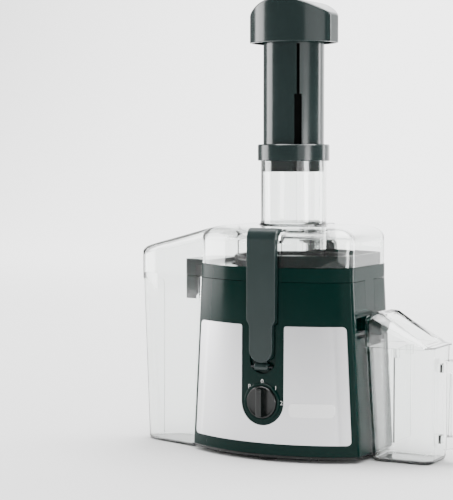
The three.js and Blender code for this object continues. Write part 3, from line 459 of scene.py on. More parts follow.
# The badge is a blank, glossy white plate with rounded corners, glued to the steel.
badge_low, badge_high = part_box("badge_plate")
badge = base_block("blank_badge", badge_low.z - 5 * mm, badge_high.z + 5 * mm, -2.4 * mm)
combine(badge, base_block("badge_inside", badge_low.z - 9 * mm, badge_high.z + 9 * mm, -1.2 * mm))
badge_outline = box_block("badge_outline", Vector((badge_low.x, badge_low.y - 20 * mm, badge_low.z)),
                          Vector((badge_high.x, badge_high.y + 20 * mm, badge_high.z)))
round_where(badge_outline, lambda a, b: abs(a.y - b.y) > 20 * mm, 5.5 * mm, 10)
combine(badge, badge_outline, how="INTERSECT")
ease_edges(badge, 0.35 * mm, 3)
smooth(badge)
white_badge = moulded_plastic("white_badge_lacquer", "ffffff", 0.22)
dress(badge, white_badge, "base", "badge_white", "badge_plate")


# ---- Control ---------------------------------------------------------------------------------------
# The knob is a round dish with an upright grip bar, inside a narrow bezel ring. Its dial is printed on
# the casing round it: pulse to the left, off at the top, then the two speeds.
bezel_low, bezel_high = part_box("control_bezel")
knob_low, knob_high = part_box("speed_knob")
knob_middle = (bezel_low + bezel_high) / 2


def lathe(name, profile, centre, axis="Z", vertices=96):
    """Turns a closed outline of (radius, height) millimetres round an axis through a centre."""
    piece = start_piece(name, bpy.ops.mesh.primitive_circle_add, vertices=len(profile), fill_type="NOTHING")
    for vertex, (radius, height) in zip(piece.data.vertices, profile):
        vertex.co = Vector((radius * mm, 0, height * mm))
    select_where(piece, "VERT", lambda spot: True)
    bpy.ops.mesh.spin(steps=vertices, angle=math.tau, center=(0, 0, 0), axis=(0, 0, 1))
    bpy.ops.mesh.select_all(action="SELECT")
    bpy.ops.mesh.remove_doubles(threshold=1e-6)
    bpy.ops.mesh.normals_make_consistent(inside=False)
    close_edit()
    settle(piece)
    if axis == "-Y":
        piece.rotation_euler = (math.radians(90), 0, 0)
    piece.location = centre
    bpy.ops.object.transform_apply(location=True, rotation=True, scale=True)
    return piece


bezel_back = bezel_high.y
bezel_radius = (bezel_high.x - bezel_low.x) / 2 / mm
bezel = lathe("dial_bezel", [(bezel_radius, 0), (bezel_radius, 1.0), (bezel_radius - 0.6, 1.6),
                             (bezel_radius - 2.6, 1.6), (bezel_radius - 3.2, 1.1), (bezel_radius - 3.2, 0)],
              Vector((knob_middle.x, bezel_back, knob_middle.z)), "-Y")
smooth(bezel, 30)
dress(bezel, glossy_abs, "base", "black_plastic", "control_bezel")

knob_back = bezel_back - 0.3 * mm
knob = lathe("knob_dish", [(0.01, 0), (19, 0), (19, 2.2), (18.2, 3.0), (16.5, 3.0), (15.6, 2.5), (0.01, 2.2)],
             Vector((knob_middle.x, knob_back, knob_middle.z)), "-Y")
grip = box_block("knob_grip", Vector((knob_middle.x - 4.6 * mm, knob_low.y, knob_middle.z - 17.5 * mm)),
                 Vector((knob_middle.x + 4.6 * mm, knob_back - 1 * mm, knob_middle.z + 17.5 * mm)))
select_where(grip, "VERT", lambda spot: spot.y < knob_low.y + 1 * mm)
bpy.ops.transform.resize(value=(0.72, 1, 0.96), center_override=knob_middle)
close_edit()
ease_edges(grip, 1.4 * mm, 4)
combine(knob, grip, rod("knob_stem", 3 * mm, Vector((knob_middle.x, knob_back - 1 * mm, knob_middle.z)),
                        Vector((knob_middle.x, knob_high.y, knob_middle.z)), 32), how="UNION")
smooth(knob, 34)
knob_plastic = moulded_plastic("satin_knob_abs", "060b0a", 0.21, shine=0.35)
dress(knob, knob_plastic, "knob", "black_plastic", "speed_knob")

# The marks are white pad print, a few hundredths thick, laid on the casing's curve.
front_radius = 168.0
mark_size = 7
mark_circle = 24.5
mark_paint = moulded_plastic("white_pad_print", "d9d9d6", 0.5)
for mark, turn in (("P", -45), ("0", 0), ("1", 45), ("2", 90)):
    mark_x = mark_circle * math.sin(math.radians(turn))
    mark_z = knob_height + mark_circle * math.cos(math.radians(turn))
    drop = (base_top - mark_z * mm) / base_top
    widen = 1 + base_flare / base_top_half_width * drop
    deepen = 1 + base_depth_flare / base_top_half_depth * drop
    bulge = front_radius - math.sqrt(front_radius ** 2 - (mark_x / widen) ** 2)
    face_y = deepen * (bulge - base_top_half_depth / mm)
    bpy.ops.object.select_all(action="DESELECT")
    bpy.ops.object.text_add(location=at(mark_x, face_y - 0.02, mark_z),
                            rotation=(math.radians(90), 0, math.asin(mark_x / front_radius / widen ** 2)))
    print_mark = bpy.context.object
    print_mark.data.body = mark
    print_mark.data.size = mark_size * mm
    print_mark.data.extrude = 0.06 * mm
    print_mark.data.align_x = "CENTER"
    print_mark.data.align_y = "CENTER"
    bpy.ops.object.convert(target="MESH")
    bpy.ops.object.transform_apply(location=True, rotation=True, scale=True)
    print_mark.name = print_mark.data.name = "dial_mark_" + mark
    dress(print_mark, mark_paint, "base", "badge_white")


# ---- Juice bowl ------------------------------------------------------------------------------------
# One dark moulding sits on the casing: a lens-shaped rim, a round well with a neck in the middle, a low
# guard wall on the jug's side, a spout with a flap over it, and an apron that hangs in the container.
def axis_rod(name, radius, low, high, vertices=128):
    """An upright round bar on the drive axis, all in millimetres."""
    return rod(name, radius * mm, at(0, 0, low), at(0, 0, high), vertices)


def outline_block(name, outline, push):
    """A flat outline of places, pushed through a distance into a solid."""
    piece = start_piece(name, bpy.ops.mesh.primitive_circle_add, vertices=len(outline), fill_type="NGON")
    for vertex, place in zip(piece.data.vertices, outline):
        vertex.co = place
    select_where(piece, "FACE", lambda centre, normal: True)
    bpy.ops.mesh.extrude_region_move(TRANSFORM_OT_translate={"value": push})
    bpy.ops.mesh.select_all(action="SELECT")
    bpy.ops.mesh.normals_make_consistent(inside=False)
    close_edit()
    return piece


def side_block(name, outline, y_low, y_high):
    """An outline of (x, z) millimetres, pushed from one depth to another."""
    return outline_block(name, [at(x, y_low, z) for x, z in outline], (0, (y_high - y_low) * mm, 0))


def skin(name, rings):
    """A solid skinned over level rings of equally many places, closed at both ends."""
    loops = []
    for ring in rings:
        loop = start_piece(name, bpy.ops.mesh.primitive_circle_add, vertices=len(ring), fill_type="NOTHING")
        for vertex, place in zip(loop.data.vertices, ring):
            vertex.co = place
        loops.append(loop)
    settle(loops[0])
    for loop in loops:
        loop.select_set(True)
    bpy.ops.object.join()
    piece = bpy.context.object
    select_where(piece, "EDGE", lambda a, b: True)
    bpy.ops.mesh.bridge_edge_loops()
    bpy.ops.mesh.select_all(action="SELECT")
    bpy.ops.mesh.fill_holes(sides=0)
    bpy.ops.mesh.normals_make_consistent(inside=False)
    close_edit()
    piece.name = piece.data.name = name
    return piece


tub_low, tub_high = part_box("pulp_container")
tub_near, tub_shoulder, tub_far = 104.5, 160, (axis_x - tub_low.x) / mm


def bend(t, pulls):
    """The place at t, from 0 to 1, on the curve that a few (x, y) places pull."""
    while len(pulls) > 1:
        pulls = [((1 - t) * x + t * next_x, (1 - t) * y + t * next_y)
                 for (x, y), (next_x, next_y) in zip(pulls, pulls[1:])]
    return pulls[0]


def container_plan(right, left, inset):
    """The pulp container's plan in (x, y) millimetres: sides that close in on a rounded far end."""
    near_half, shoulder_half, shoulder = 45, 28, tub_shoulder - (tub_far - left)
    slope = (near_half - shoulder_half) / (tub_shoulder - tub_near)
    half_at = lambda x: near_half - inset - slope * (x - tub_near)
    near, end = right + inset, left - inset
    corner = near + 6
    near_pulls = [(near, half_at(near) - 6), (near, half_at(near)), (corner, half_at(corner))]
    far_pulls = [(shoulder, half_at(shoulder)), (shoulder + 17, half_at(shoulder + 17)),
                 (end, half_at(shoulder) * 0.62), (end, 0)]
    straight = [corner + (shoulder - corner) * step / 6 for step in range(1, 6)]
    side = ([bend(step / 6, near_pulls) for step in range(7)] + [(x, half_at(x)) for x in straight]
            + [bend(step / 20, far_pulls) for step in range(20)])
    return [(-x, y) for x, y in side] + [(-end, 0)] + [(-x, -y) for x, y in reversed(side)]


def plain_lens(name, low, high, inset=0):
    return lens_block(name, base_top_half_width, base_top_half_depth, base_end_half, low * mm, high * mm,
                      inset * mm)


def container_block(name, inset, low, high):
    """A block with the container's plan, carried on into the bowl."""
    plan = container_plan(78, tub_far, inset)
    return skin(name, [[at(x, y, z) for x, y in plan] for z in (low, high)])


ring_low, ring_top, guard_top = housing_top + 0.6, housing_top + 17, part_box("juice_bowl")[1].z / mm
well_floor, well_radius, well_wall = deck + 0.6, 75.5, 2.5
bowl = plain_lens("juice_bowl_moulding", ring_low, ring_top)
combine(bowl, plain_lens("rim_room", ring_low - 1, ring_top - 3, 3))
guard = plain_lens("guard_wall", ring_top - 1, guard_top, 6)
combine(guard, plain_lens("guard_room", ring_top - 2, guard_top + 1, 8),
        box_block("guard_end", at(-200, -120, ring_top - 5), at(0, 120, guard_top + 10)))
apron_foot = 184
apron = side_block("apron", [(-92, ring_top - 3), (-113.5, ring_top - 3), (-113.5, apron_foot),
                             (-130, apron_foot), (-130, 233), (-92, 233)], -45, 45)
combine(apron, container_block("apron_plan", 4.4, apron_foot - 1, 234), how="INTERSECT")
hollow = container_block("apron_room", 6.4, apron_foot - 1, 230.6)
combine(hollow, box_block("apron_keep", at(-128, -50, 180), at(-60, 50, 236)), how="INTERSECT")
combine(apron, hollow)
combine(bowl, guard, apron, *[channel_back(f"bowl_{end}_back", side, ring_low, ring_top)
                              for end, side in latch_sides], how="UNION")
combine(bowl, *[latch_channel(f"bowl_{end}_channel", side, 300) for end, side in latch_sides],
        axis_rod("well_room", well_radius, well_floor + 2, 250))
well = axis_rod("well", well_radius + well_wall, well_floor, ring_top)
combine(well, axis_rod("well_inside", well_radius, well_floor + well_wall, 240))
neck = axis_rod("neck", 18.5, well_floor, well_floor + 28, 64)
spout = side_block("spout", [(76, well_floor), (104.5, well_floor), (104.5, 148), (122, 148), (122, 163),
                             (104.5, 171), (76, 171)], -14, 14)
ease_edges(spout, 1.5 * mm, 3)
flap_x = 100 + base_flare / mm * (1 - 171 / housing_top)
flap = side_block("flap", [(flap_x - 2.6, 170), (flap_x, 170), (100, 213), (97.4, 213)], -14, 14)
combine(bowl, well, neck, spout, flap, how="UNION")
combine(bowl, axis_rod("neck_bore", 16, 140, 200, 64),
        side_block("spout_bore", [(70, well_floor + 2.5), (107, well_floor + 2.5), (107, 147), (119.5, 147),
                                  (119.5, 160.5), (104.5, 168.5), (70, 168.5)], -11.5, 11.5))
ease_edges(bowl, 0.6 * mm, 2)
smooth(bowl)
dress(bowl, glossy_abs, "base", "dark_plastic", "juice_bowl")


# ---- Latches ---------------------------------------------------------------------------------------
# Two long arms, front and back, hinged low on the casing. Each is a shallow bar that narrows below a
# step to a round-ended tail, with a hook that bears on the lid's shoulder.
latch_plastic = moulded_plastic("satin_grey_green_abs", "142423", 0.34, shine=0.38)


def quarter_turns(steps):
    """Angles from nothing to a right angle, in equal steps."""
    return [math.pi / 2 * step / steps for step in range(steps + 1)]


def latch_arm(end, side):
    name, top = "latch_arm_" + end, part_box("latch_" + end)[1].z / mm
    bottom, inner, outer, pivot, pin_y, half, tail = 117, 82.3, 91.5, 112, 86.8, 18.5, 15
    hook_inner, hook_low = inner - 12, top - 17
    reach = [(inner, pivot + 3), (inner, hook_low), (hook_inner, hook_low + 10.1), (hook_inner, top - 1)]
    for turn in quarter_turns(8):
        reach.append((outer - 10 + 10 * math.sin(turn), top - 14 + 14 * math.cos(turn)))
    reach.append((outer, pivot + 3))
    arm = outline_block(name, [at(-half, side * y, z) for y, z in reach], (2 * half * mm, 0, 0))
    step_down = [(half, 167), (17.4, 164.4), (15.8, 162.6), (tail, 160)]
    face = [(half, top + 5), (-half, top + 5)] + [(-x, z) for x, z in step_down]
    for turn in [math.pi * (1 + step / 24) for step in range(25)]:
        face.append((tail * math.cos(turn), bottom + tail + tail * math.sin(turn)))
    face += reversed(step_down)
    combine(arm, side_block("latch_face", face, -120, 120), how="INTERSECT")
    ease_edges(arm, 1.1 * mm, 4, 30)
    knuckle = rod("knuckle", 4.5 * mm, at(-9, side * pin_y, pivot), at(9, side * pin_y, pivot), 48)
    ease_edges(knuckle, 1.6 * mm, 4)
    near, far = sorted((side * (inner + 1), side * (inner + 3.5)))
    combine(arm, knuckle, box_block("web", at(-6, near, pivot), at(6, far, bottom + 4)), how="UNION")
    combine(arm, rod("pin_bore", 1.7 * mm, at(-20, side * pin_y, pivot), at(20, side * pin_y, pivot), 32))
    return smooth(arm, 30)


for end, side in latch_sides:
    dress(latch_arm(end, side), latch_plastic, end + "_latch", "dark_plastic", "latch_" + end)


# ---- Lid and chute ---------------------------------------------------------------------------------
# One clear moulding: a low dome over the bowl with soft shoulders, a sloping hood over the container,
# and a tall round chute with a rib that keys the pusher. Seats for the hooks are cut in its shoulders.
def lens_plan(half_width, half_depth, end_half, inset=0.0, corner=8.0, steps=64):
    """A lens plan in (x, y) millimetres, anticlockwise: arcs, flat ends and eased corners."""
    rise = half_depth - end_half
    radius = (half_width ** 2 + rise ** 2) / (2 * rise)
    arc_y = lambda x: half_depth - radius + math.sqrt((radius - inset) ** 2 - x ** 2)
    end = half_width - inset
    edge = end - corner
    pulls = [(end, arc_y(end) - corner), (end, arc_y(end)), (edge, arc_y(edge))]
    turn = [bend(step / 7, pulls) for step in range(7)]
    arc = [(x, -arc_y(x)) for x in [edge * (2 * step / steps - 1) for step in range(steps + 1)]]
    front = [(-x, -y) for x, y in turn] + arc + [(x, -y) for x, y in reversed(turn)]
    return front + [(x, -y) for x, y in reversed(front)]


def lens_ring(z, inset):
    """The juicer's plan at a height, moved in by inset."""
    plan = lens_plan(base_top_half_width / mm, base_top_half_depth / mm, base_end_half / mm, inset,
                     max(8 - inset / 5, 3))
    return [at(x, y, z) for x, y in plan]


def dome(name, low, inset):
    drop, draw_in = 17, 32
    rings = [lens_ring(low, inset)]
    for turn in quarter_turns(10):
        rings.append(lens_ring(lid_dome_top - drop + drop * math.sin(turn) - inset,
                               inset + draw_in * (1 - math.cos(turn)) ** 1.3))
    return skin(name, rings)


def hood(name, low, inset):
    """The hood's top falls towards its far end, and its edges are rounded."""
    edge, near_height, fall = 9, 268, 23
    top = lambda x: near_height + fall / (tub_far - tub_near) * (x + tub_near)
    level = container_plan(78, tub_far, inset)
    rings = [[at(x, y, low) for x, y in level]]
    for turn in quarter_turns(7):
        plan = container_plan(78, tub_far, inset + edge * (1 - math.cos(turn)))
        rings.append([at(x, y, top(rim[0]) - edge + edge * math.sin(turn) - inset)
                      for (x, y), rim in zip(plan, level)])
    return skin(name, rings)


def latch_seat(name, side, inner, half, bottom, margin):
    """A block that follows the latch's hook from outside, with a margin under it."""
    z_at = lambda y: 258.5 + 0.84 * (82.3 - y) - margin
    tip = 70.3 - margin
    outline = [(inner, bottom), (inner, z_at(inner)), (tip, z_at(tip)), (tip, 300), (100, 300), (100, bottom)]
    return outline_block(name, [at(-half, side * y, z) for y, z in outline], (2 * half * mm, 0, 0))


def keyed(name, inner, outer, width, low, high):
    """An upright bar across the chute's wall or the pusher's, turned to the chute's rib."""
    bar = box_block(name, at(-width / 2, -outer, low), at(width / 2, -inner, high))
    select_where(bar, "VERT", lambda spot: True)
    bpy.ops.transform.rotate(value=-rib_turn, orient_axis="Z", center_override=at(0, 0, low))
    close_edit()
    return bar


lid_wall, lid_bottom, lid_dome_top, chute_top = 2.5, ring_top + 0.6, ring_top + 47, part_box("lid")[1].z / mm
chute_inner, chute_outer, rib_turn = 37.5, 40, math.radians(33)
lid = dome("clear_lid", lid_bottom, 0)
combine(lid, hood("hood", ring_low, 0), how="UNION")
inside = dome("lid_inside", lid_bottom - 1, lid_wall)
combine(inside, *[latch_seat(end + "_pad", side, 79.1, 22.5, lid_bottom - 5, 3.5)
                  for end, side in latch_sides])
combine(inside, hood("hood_inside", ring_low - 1, lid_wall), how="UNION")
combine(lid, inside, *[latch_seat(end + "_seat", side, channel_y, 20.1, ring_low - 5, 0.3)
                       for end, side in latch_sides],
        box_block("over_rim", at(-100.6, -120, ring_low - 5), at(200, 120, lid_bottom)))
flare = [(chute_outer + 5 - 5 * math.sin(turn), 5 - 5 * math.cos(turn)) for turn in quarter_turns(6)]
foot_flare = lathe("chute_foot", [(chute_outer - 1, -2), *flare, (chute_outer - 1, 5), (chute_outer - 1, -1)],
                   at(0, 0, lid_dome_top - 0.3))
combine(lid, axis_rod("chute", chute_outer, 197, chute_top), foot_flare, how="UNION")
combine(lid, axis_rod("chute_bore", chute_inner, 190, chute_top + 5))
combine(lid, keyed("chute_rib", 35.3, 38.5, 3, lid_dome_top, chute_top - 2), how="UNION")
ease_edges(lid, 0.5 * mm, 2)
smooth(lid)


# Clear polycarbonate: hard, polished and slightly grey through its edges, with a very faint ripple from the
# mould. Handling and pulp leave the container a little hazier than the lid and the jug.
def clear_plastic(name, colour, roughness, haze=0.0):
    """Clear moulded plastic. haze is how much light it scatters white instead of passing."""
    material, tree, place = textured_material(name)
    ripple = add_node(tree, "TexNoise", {"Vector": place, "Scale": 30.0, "Detail": 1.0})
    relief = add_node(tree, "Bump", {"Height": ripple.outputs["Fac"], "Strength": 0.08,
                                     "Distance": 0.3 * mm})
    clear = add_node(tree, "BsdfPrincipled", {
        "Base Color": srgb(colour), "Roughness": roughness, "IOR": 1.585, "Transmission Weight": 1.0,
        "Normal": relief.outputs["Normal"]})
    milk = add_node(tree, "BsdfPrincipled", {
        "Base Color": srgb("e9ecea"), "Roughness": 0.35, "IOR": 1.585, "Normal": relief.outputs["Normal"]})
    mix = add_node(tree, "MixShader", {0: haze, 1: clear.outputs[0], 2: milk.outputs[0]})
    return finish_material(material, mix)


clear_lid_plastic = clear_plastic("clear_polycarbonate", "fafcfb", 0.02, 0.0)
dress(lid, clear_lid_plastic, "lid", "clear_plastic", "lid")

# The collar is a dark ring pressed over the chute's mouth.
collar_low, collar_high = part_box("chute_collar")
collar_outer = (collar_high.x - collar_low.x) / 2 / mm
collar = lathe("chute_collar_ring", [(40.3, 0), (40.6, -0.2), (collar_outer - 0.8, -0.2), (collar_outer, 0.7),
                                     (collar_outer, 18.8), (collar_outer - 1.2, 20), (38.6, 20), (38, 19.4),
                                     (38, 18.3), (40.3, 18.3)], at(0, 0, collar_low.z / mm))
smooth(collar, 30)
plunger_abs = moulded_plastic("gloss_grey_green_abs", "172524", 0.19, wave=0.03, shine=0.5)
dress(collar, plunger_abs, "lid", "dark_plastic", "chute_collar")


# ---- Pusher ----------------------------------------------------------------------------------------
# A dark round plunger, closed below and open into its cap, with a keyway for the chute's rib that is
# wide below and narrow above. Its cap has a lens plan like the base's, a domed top and flat ends.
tube_low, tube_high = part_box("pusher_tube")
tube_bottom, tube_top, tube_radius = tube_low.z / mm, tube_high.z / mm, 37
cap_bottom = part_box("pusher_cap")[0].z / mm
keyway_floor, keyway_wide, keyway_neck, keyway_step = tube_radius - 6, 9, 3.6, (tube_bottom + tube_top) / 2
neck_top = cap_bottom - 2
tube = axis_rod("pusher_plunger", tube_radius, tube_bottom, tube_top)
combine(tube, keyed("keyway", keyway_floor, tube_radius + 4, keyway_wide, tube_bottom - 1, keyway_step))
combine(tube, keyed("keyway_neck", keyway_floor, tube_radius + 4, keyway_neck, keyway_step - 5, neck_top))
tube_room = axis_rod("tube_inside", tube_radius - 2.5, tube_bottom + 3, tube_top + 1)
combine(tube_room,
        keyed("keyway_back", keyway_floor - 2.5, tube_radius + 4, 14, tube_bottom - 1, tube_top + 5))
combine(tube, tube_room)
ease_edges(tube, 0.8 * mm, 3)
smooth(tube, 30)
dress(tube, plunger_abs, "pusher", "dark_plastic", "pusher_tube")

# A matt black strip lies on the keyway's floor, wide below and narrow above. It is painted shadow that stands
# in for the shade falling deep in the slot.
keyway_shadow_strip = keyed("painted_shadow_strip", keyway_floor, tube_radius - 3, keyway_wide - 0.4, tube_bottom + 0.5,
              keyway_step - 0.2)
combine(keyway_shadow_strip, keyed("painted_shadow_neck", keyway_floor, tube_radius - 3.2, keyway_neck - 0.4, keyway_step - 3,
                     neck_top - 0.2), how="UNION")
# Its near-black, dull material is painted shadow for the keyway's depth.
painted_shadow_black = moulded_plastic("painted_keyway_shadow", "030404", 0.9, wave=0.3, grain_size=0.4, shine=0.05)
dress(keyway_shadow_strip, painted_shadow_black, "pusher", "black_plastic")

cap_half, cap_side, cap_crown, cap_ease = 53.5, 34, 19, 0.8


def cap_plan(inset, corner=4):
    return lens_plan(cap_half, 45, 13.5, inset, corner, 40)


def cap_ring(inset, lift, scale=1.0):
    """The cap's plan on its domed top, lowered by lift and drawn in by scale."""
    plan = [(x * scale, y * scale) for x, y in cap_plan(inset)]
    return [at(x, y, cap_bottom + cap_side + cap_crown * (1 - (x / cap_half) ** 2) - lift) for x, y in plan]


cap_rings = [[at(x, y, cap_bottom) for x, y in cap_plan(cap_ease)],
             [at(x, y, cap_bottom + cap_ease) for x, y in cap_plan(0)], cap_ring(0, 3)]
cap_rings += [cap_ring(3 * (1 - math.cos(turn)), 3 - 3 * math.sin(turn))
              for turn in (math.radians(30), math.radians(60), math.radians(90))]
cap_rings += [cap_ring(3, 0, scale) for scale in (0.8, 0.6, 0.4, 0.2)]
cap = skin("pusher_cap_moulding", cap_rings)
combine(cap, skin("cap_room", [[at(x, y, z) for x, y in cap_plan(2.5, 3)]
                               for z in (cap_bottom - 1, tube_top + 0.3)]))
socket = axis_rod("cap_socket", 30.9, tube_top - 11.7, tube_top + 1, 96)
combine(socket, axis_rod("socket_room", 29.5, tube_top - 15, tube_top + 0.2, 96),
        keyed("socket_slot", 20, 40, 14, tube_top - 20, tube_top + 0.2))
combine(cap, socket, how="UNION")
smooth(cap, 30)
dress(cap, plunger_abs, "pusher", "dark_plastic", "pusher_cap")


# ---- Pulp container --------------------------------------------------------------------------------
# A tall clear tub that closes in on a rounded far end and tapers to its foot. Its near wall is cut down for
# the bowl's apron.
tub_top = tub_high.z / mm


def tub_ring(z, inset):
    """The tub's plan at a height: it tapers towards its foot as the casing beside it flares."""
    drop = 1 - z / 212
    plan = container_plan(tub_near + 10 * drop, tub_far - 11 * drop, inset - 2 * drop)
    return [at(x, y, z) for x, y in plan]


tub = skin("clear_tub", [tub_ring(0, 3.5), tub_ring(0.6, 1.8), tub_ring(1.8, 0.7), tub_ring(4, 0),
                         tub_ring(tub_top, 0)])
combine(tub, skin("tub_room", [tub_ring(2.2, 5.5), tub_ring(3, 3.6), tub_ring(5, 2.2),
                               tub_ring(tub_top + 1, 2)]),
        box_block("apron_notch", at(-109, -40.9, 180), at(-80, 40.9, tub_top + 5)))
grip_cut = box_block("grip_cut", at(-230, -60, -2), at(20 - tub_far, 60, 204))
round_where(grip_cut, lambda a, b: abs(a.y - b.y) > 50 * mm and a.z > 0.1 and a.x > axis_x - 0.2, 8 * mm, 8)
combine(grip_cut, skin("grip_face", [tub_ring(-5, 1), tub_ring(tub_top, 1)]))
combine(tub, grip_cut)
ease_edges(tub, 0.4 * mm, 2, 50)
smooth(tub, 40)
clear_tub_plastic = clear_plastic("clear_container_plastic", "f9fbfa", 0.03, 0.01)
dress(tub, clear_tub_plastic, "pulp_bin", "clear_plastic", "pulp_container")


# ---- Juice jug -------------------------------------------------------------------------------------
# A clear jug with rounded corners that widens upwards, a loop handle on two lugs, a froth separator
# hung across it and a wedge-shaped clear lid, open on the near side for the spout.
jug_near, jug_far, jug_half, jug_height = 107.5, 192.5, 36, 136


def rounded_plan(near, far, half, radius, steps=10):
    """A rectangle with rounded corners in (x, y) millimetres, anticlockwise."""
    plan = []
    for x, side, quarter in ((far, -1, 0), (far, 1, 1), (near, 1, 2), (near, -1, 3)):
        middle = far - radius if x == far else near + radius
        for step in range(steps + 1):
            turn = (quarter - 1 + step / steps) * math.pi / 2
            plan.append((middle + radius * math.cos(turn), side * (half - radius) + radius * math.sin(turn)))
    return plan


def jug_ring(z, inset):
    drop = 1 - z / jug_height
    plan = rounded_plan(jug_near + 6 * drop + inset, jug_far - 2 * drop - inset, jug_half - 6 * drop - inset,
                        12 - inset / 2)
    return [at(x, y, z) for x, y in plan]


jug = skin("clear_jug", [jug_ring(0, 4), jug_ring(0.7, 2), jug_ring(2.2, 0.7), jug_ring(5, 0),
                         jug_ring(jug_height, 0)])
lugs = [box_block("lug", at(jug_far - 4, -6, z - 5), at(jug_far + 5, 6, z + 5)) for z in (28, 112)]
for lug in lugs:
    ease_edges(lug, 1.5 * mm, 3)
combine(jug, *lugs, how="UNION")
combine(jug, skin("jug_room", [jug_ring(2.8, 7), jug_ring(3.6, 4.4), jug_ring(6, 2.8),
                               jug_ring(jug_height + 1, 2.5)]))
ease_edges(jug, 0.5 * mm, 2, 50)
smooth(jug, 40)
clear_jug_plastic = clear_plastic("clear_jug_plastic", "fafcfb", 0.02, 0.0)
dress(jug, clear_jug_plastic, "jug", "clear_plastic", "juice_jug")

handle_in, handle_out = jug_far + 5.3, jug_far + 40
handle = side_block("loop_handle", [(handle_in, 16), (handle_out - 8, 20), (handle_out, 30),
                                    (handle_out, 108), (handle_out - 8, 120), (handle_in, 122)], -9, 9)
handle_hole = side_block("finger_hole", [(handle_in + 4, 32), (handle_out - 12, 34), (handle_out - 12, 106),
                                         (handle_in + 4, 108)], -12, 12)
for shape, radius in ((handle, 9), (handle_hole, 7)):
    round_where(shape, lambda a, b: abs(a.y - b.y) > 15 * mm and a.x > axis_x + (handle_in + 8) * mm,
                radius * mm, 6)
combine(handle, handle_hole)
ease_edges(handle, 2.5 * mm, 4, 50)
smooth(handle, 40)
dress(handle, clear_jug_plastic, "jug", "clear_plastic", "jug_handle")

separator_low, separator_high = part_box("froth_separator")
plate_x = (separator_low.x + separator_high.x) / 2
separator = box_block("froth_plate", Vector((plate_x - 1 * mm, separator_low.y, separator_low.z)),
                      Vector((plate_x + 1 * mm, separator_high.y, separator_high.z)))
for side in (-1, 1):
    tongue_y = axis_y + side * 22 * mm
    tongue = box_block("tongue", Vector((separator_low.x, tongue_y - 2 * mm, separator_high.z - 10 * mm)),
                       Vector((separator_high.x, tongue_y + 2 * mm, separator_high.z)))
    combine(separator, tongue, how="UNION")
ease_edges(separator, 0.4 * mm, 2)
smooth(separator)
dress(separator, clear_jug_plastic, "jug", "clear_plastic", "froth_separator")

lid_low_z = jug_height + 0.3


def jug_lid_solid(name, low, inset):
    """The wedge: upright walls, and a top that falls away from the spout with rounded edges."""
    edge_draw, edge_drop = 13, 11
    top = lambda x: lid_low_z + 40 - 35 * max(0, (x - jug_near) / (jug_far - jug_near)) ** 1.4
    plan_at = lambda draw: rounded_plan(jug_near - 1 + draw, jug_far + 1 - draw, jug_half + 0.5 - draw,
                                        10 - inset / 2)
    level = plan_at(inset)
    rings = [[at(x, y, low) for x, y in level]]
    for step, turn in enumerate(quarter_turns(8)):
        plan = plan_at(inset + edge_draw * (1 - math.cos(turn)))
        lift = edge_drop * (math.sin(turn) - 1) - inset * 1.1
        rings.append([at(x, y, max(low + 1.5 + step * 0.3, top(rim[0]) + lift))
                      for (x, y), rim in zip(plan, level)])
    return skin(name, rings)


jug_lid = jug_lid_solid("clear_jug_lid", lid_low_z, 0)
flange = rounded_plan(jug_near - 1.6, jug_far + 1.6, jug_half + 1.1, 10.5)
combine(jug_lid, skin("lid_flange", [[at(x, y, z) for x, y in flange] for z in (lid_low_z, lid_low_z + 2.2)]),
        how="UNION")
combine(jug_lid, jug_lid_solid("jug_lid_room", lid_low_z - 1, 2),
        box_block("lid_mouth", at(jug_near - 10, -28, lid_low_z + 3), at(jug_near + 8, 28, lid_low_z + 35)),
        box_block("spout_way", at(jug_near - 10, -18, lid_low_z - 1), at(jug_near + 30, 18, lid_low_z + 8)))
ease_edges(jug_lid, 0.4 * mm, 2, 50)
smooth(jug_lid, 40)
dress(jug_lid, clear_jug_plastic, "jug_cover", "clear_plastic", "jug_lid")


# ---- Basket ----------------------------------------------------------------------------------------
# The spinning basket: a black hub on the coupling, a steel grating disc with spiral rows of teeth, a
# cone of etched steel mesh that leans outwards, and a black rim that stiffens its mouth.
hub_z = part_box("basket_hub")[1].z / mm - 9
hub = lathe("basket_hub_moulding", [(0.01, -3.6), (13.3, -3.6), (13.3, -14), (15.4, -14), (15.4, -1),
                                    (48.2, 0), (49, 0.8), (49, 3.2), (48.2, 4), (6, 4), (6, 8.2), (5.2, 9),
                                    (0.01, 9)], at(0, 0, hub_z))
smooth(hub, 30)
dress(hub, satin_black, "rotor", "black_plastic", "basket_hub")

disc_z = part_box("grating_disc")[0].z / mm
disc = lathe("grating_disc_blank", [(6.4, 0), (46.8, 0), (47, 0.4), (47, 1.7), (46.7, 2), (6.4, 2)],
             at(0, 0, disc_z))
teeth = []
for row in range(8):
    for reach in range(12, 45, 4):
        turn = row * math.pi / 4 + reach / 20
        spot = at(reach * math.cos(turn), reach * math.sin(turn), disc_z + 2.7)
        teeth.append(start_piece("tooth", bpy.ops.mesh.primitive_cone_add, vertices=4, radius1=1.5 * mm,
                                 radius2=0.2 * mm, depth=1.8 * mm, location=spot,
                                 rotation=(0, math.radians(18), turn + math.pi / 2)))
settle(disc)
for tooth in teeth:
    tooth.select_set(True)
bpy.ops.object.join()
smooth(disc, 30)
spun_stainless = brushed_metal("ground_stainless", "c8c9cb", 0.22, line_width=0.4, line_length=3)
dress(disc, spun_stainless, "rotor", "bright_steel", "grating_disc")

rim_low, rim_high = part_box("basket_rim")
rim_radius = (rim_high.x - rim_low.x) / 2 / mm
rim_bottom, rim_top = rim_low.z / mm, rim_high.z / mm
rim_outline = [(-5, rim_bottom), (-0.8, rim_bottom), (0, rim_bottom + 0.8), (0, rim_top - 1.2),
               (-1.2, rim_top), (-3.8, rim_top), (-5, rim_top - 1.2)]
rim = lathe("basket_rim_ring", [(rim_radius + x, z) for x, z in rim_outline], at(0, 0, 0))
smooth(rim, 40)
dress(rim, satin_black, "rotor", "black_plastic", "basket_rim")

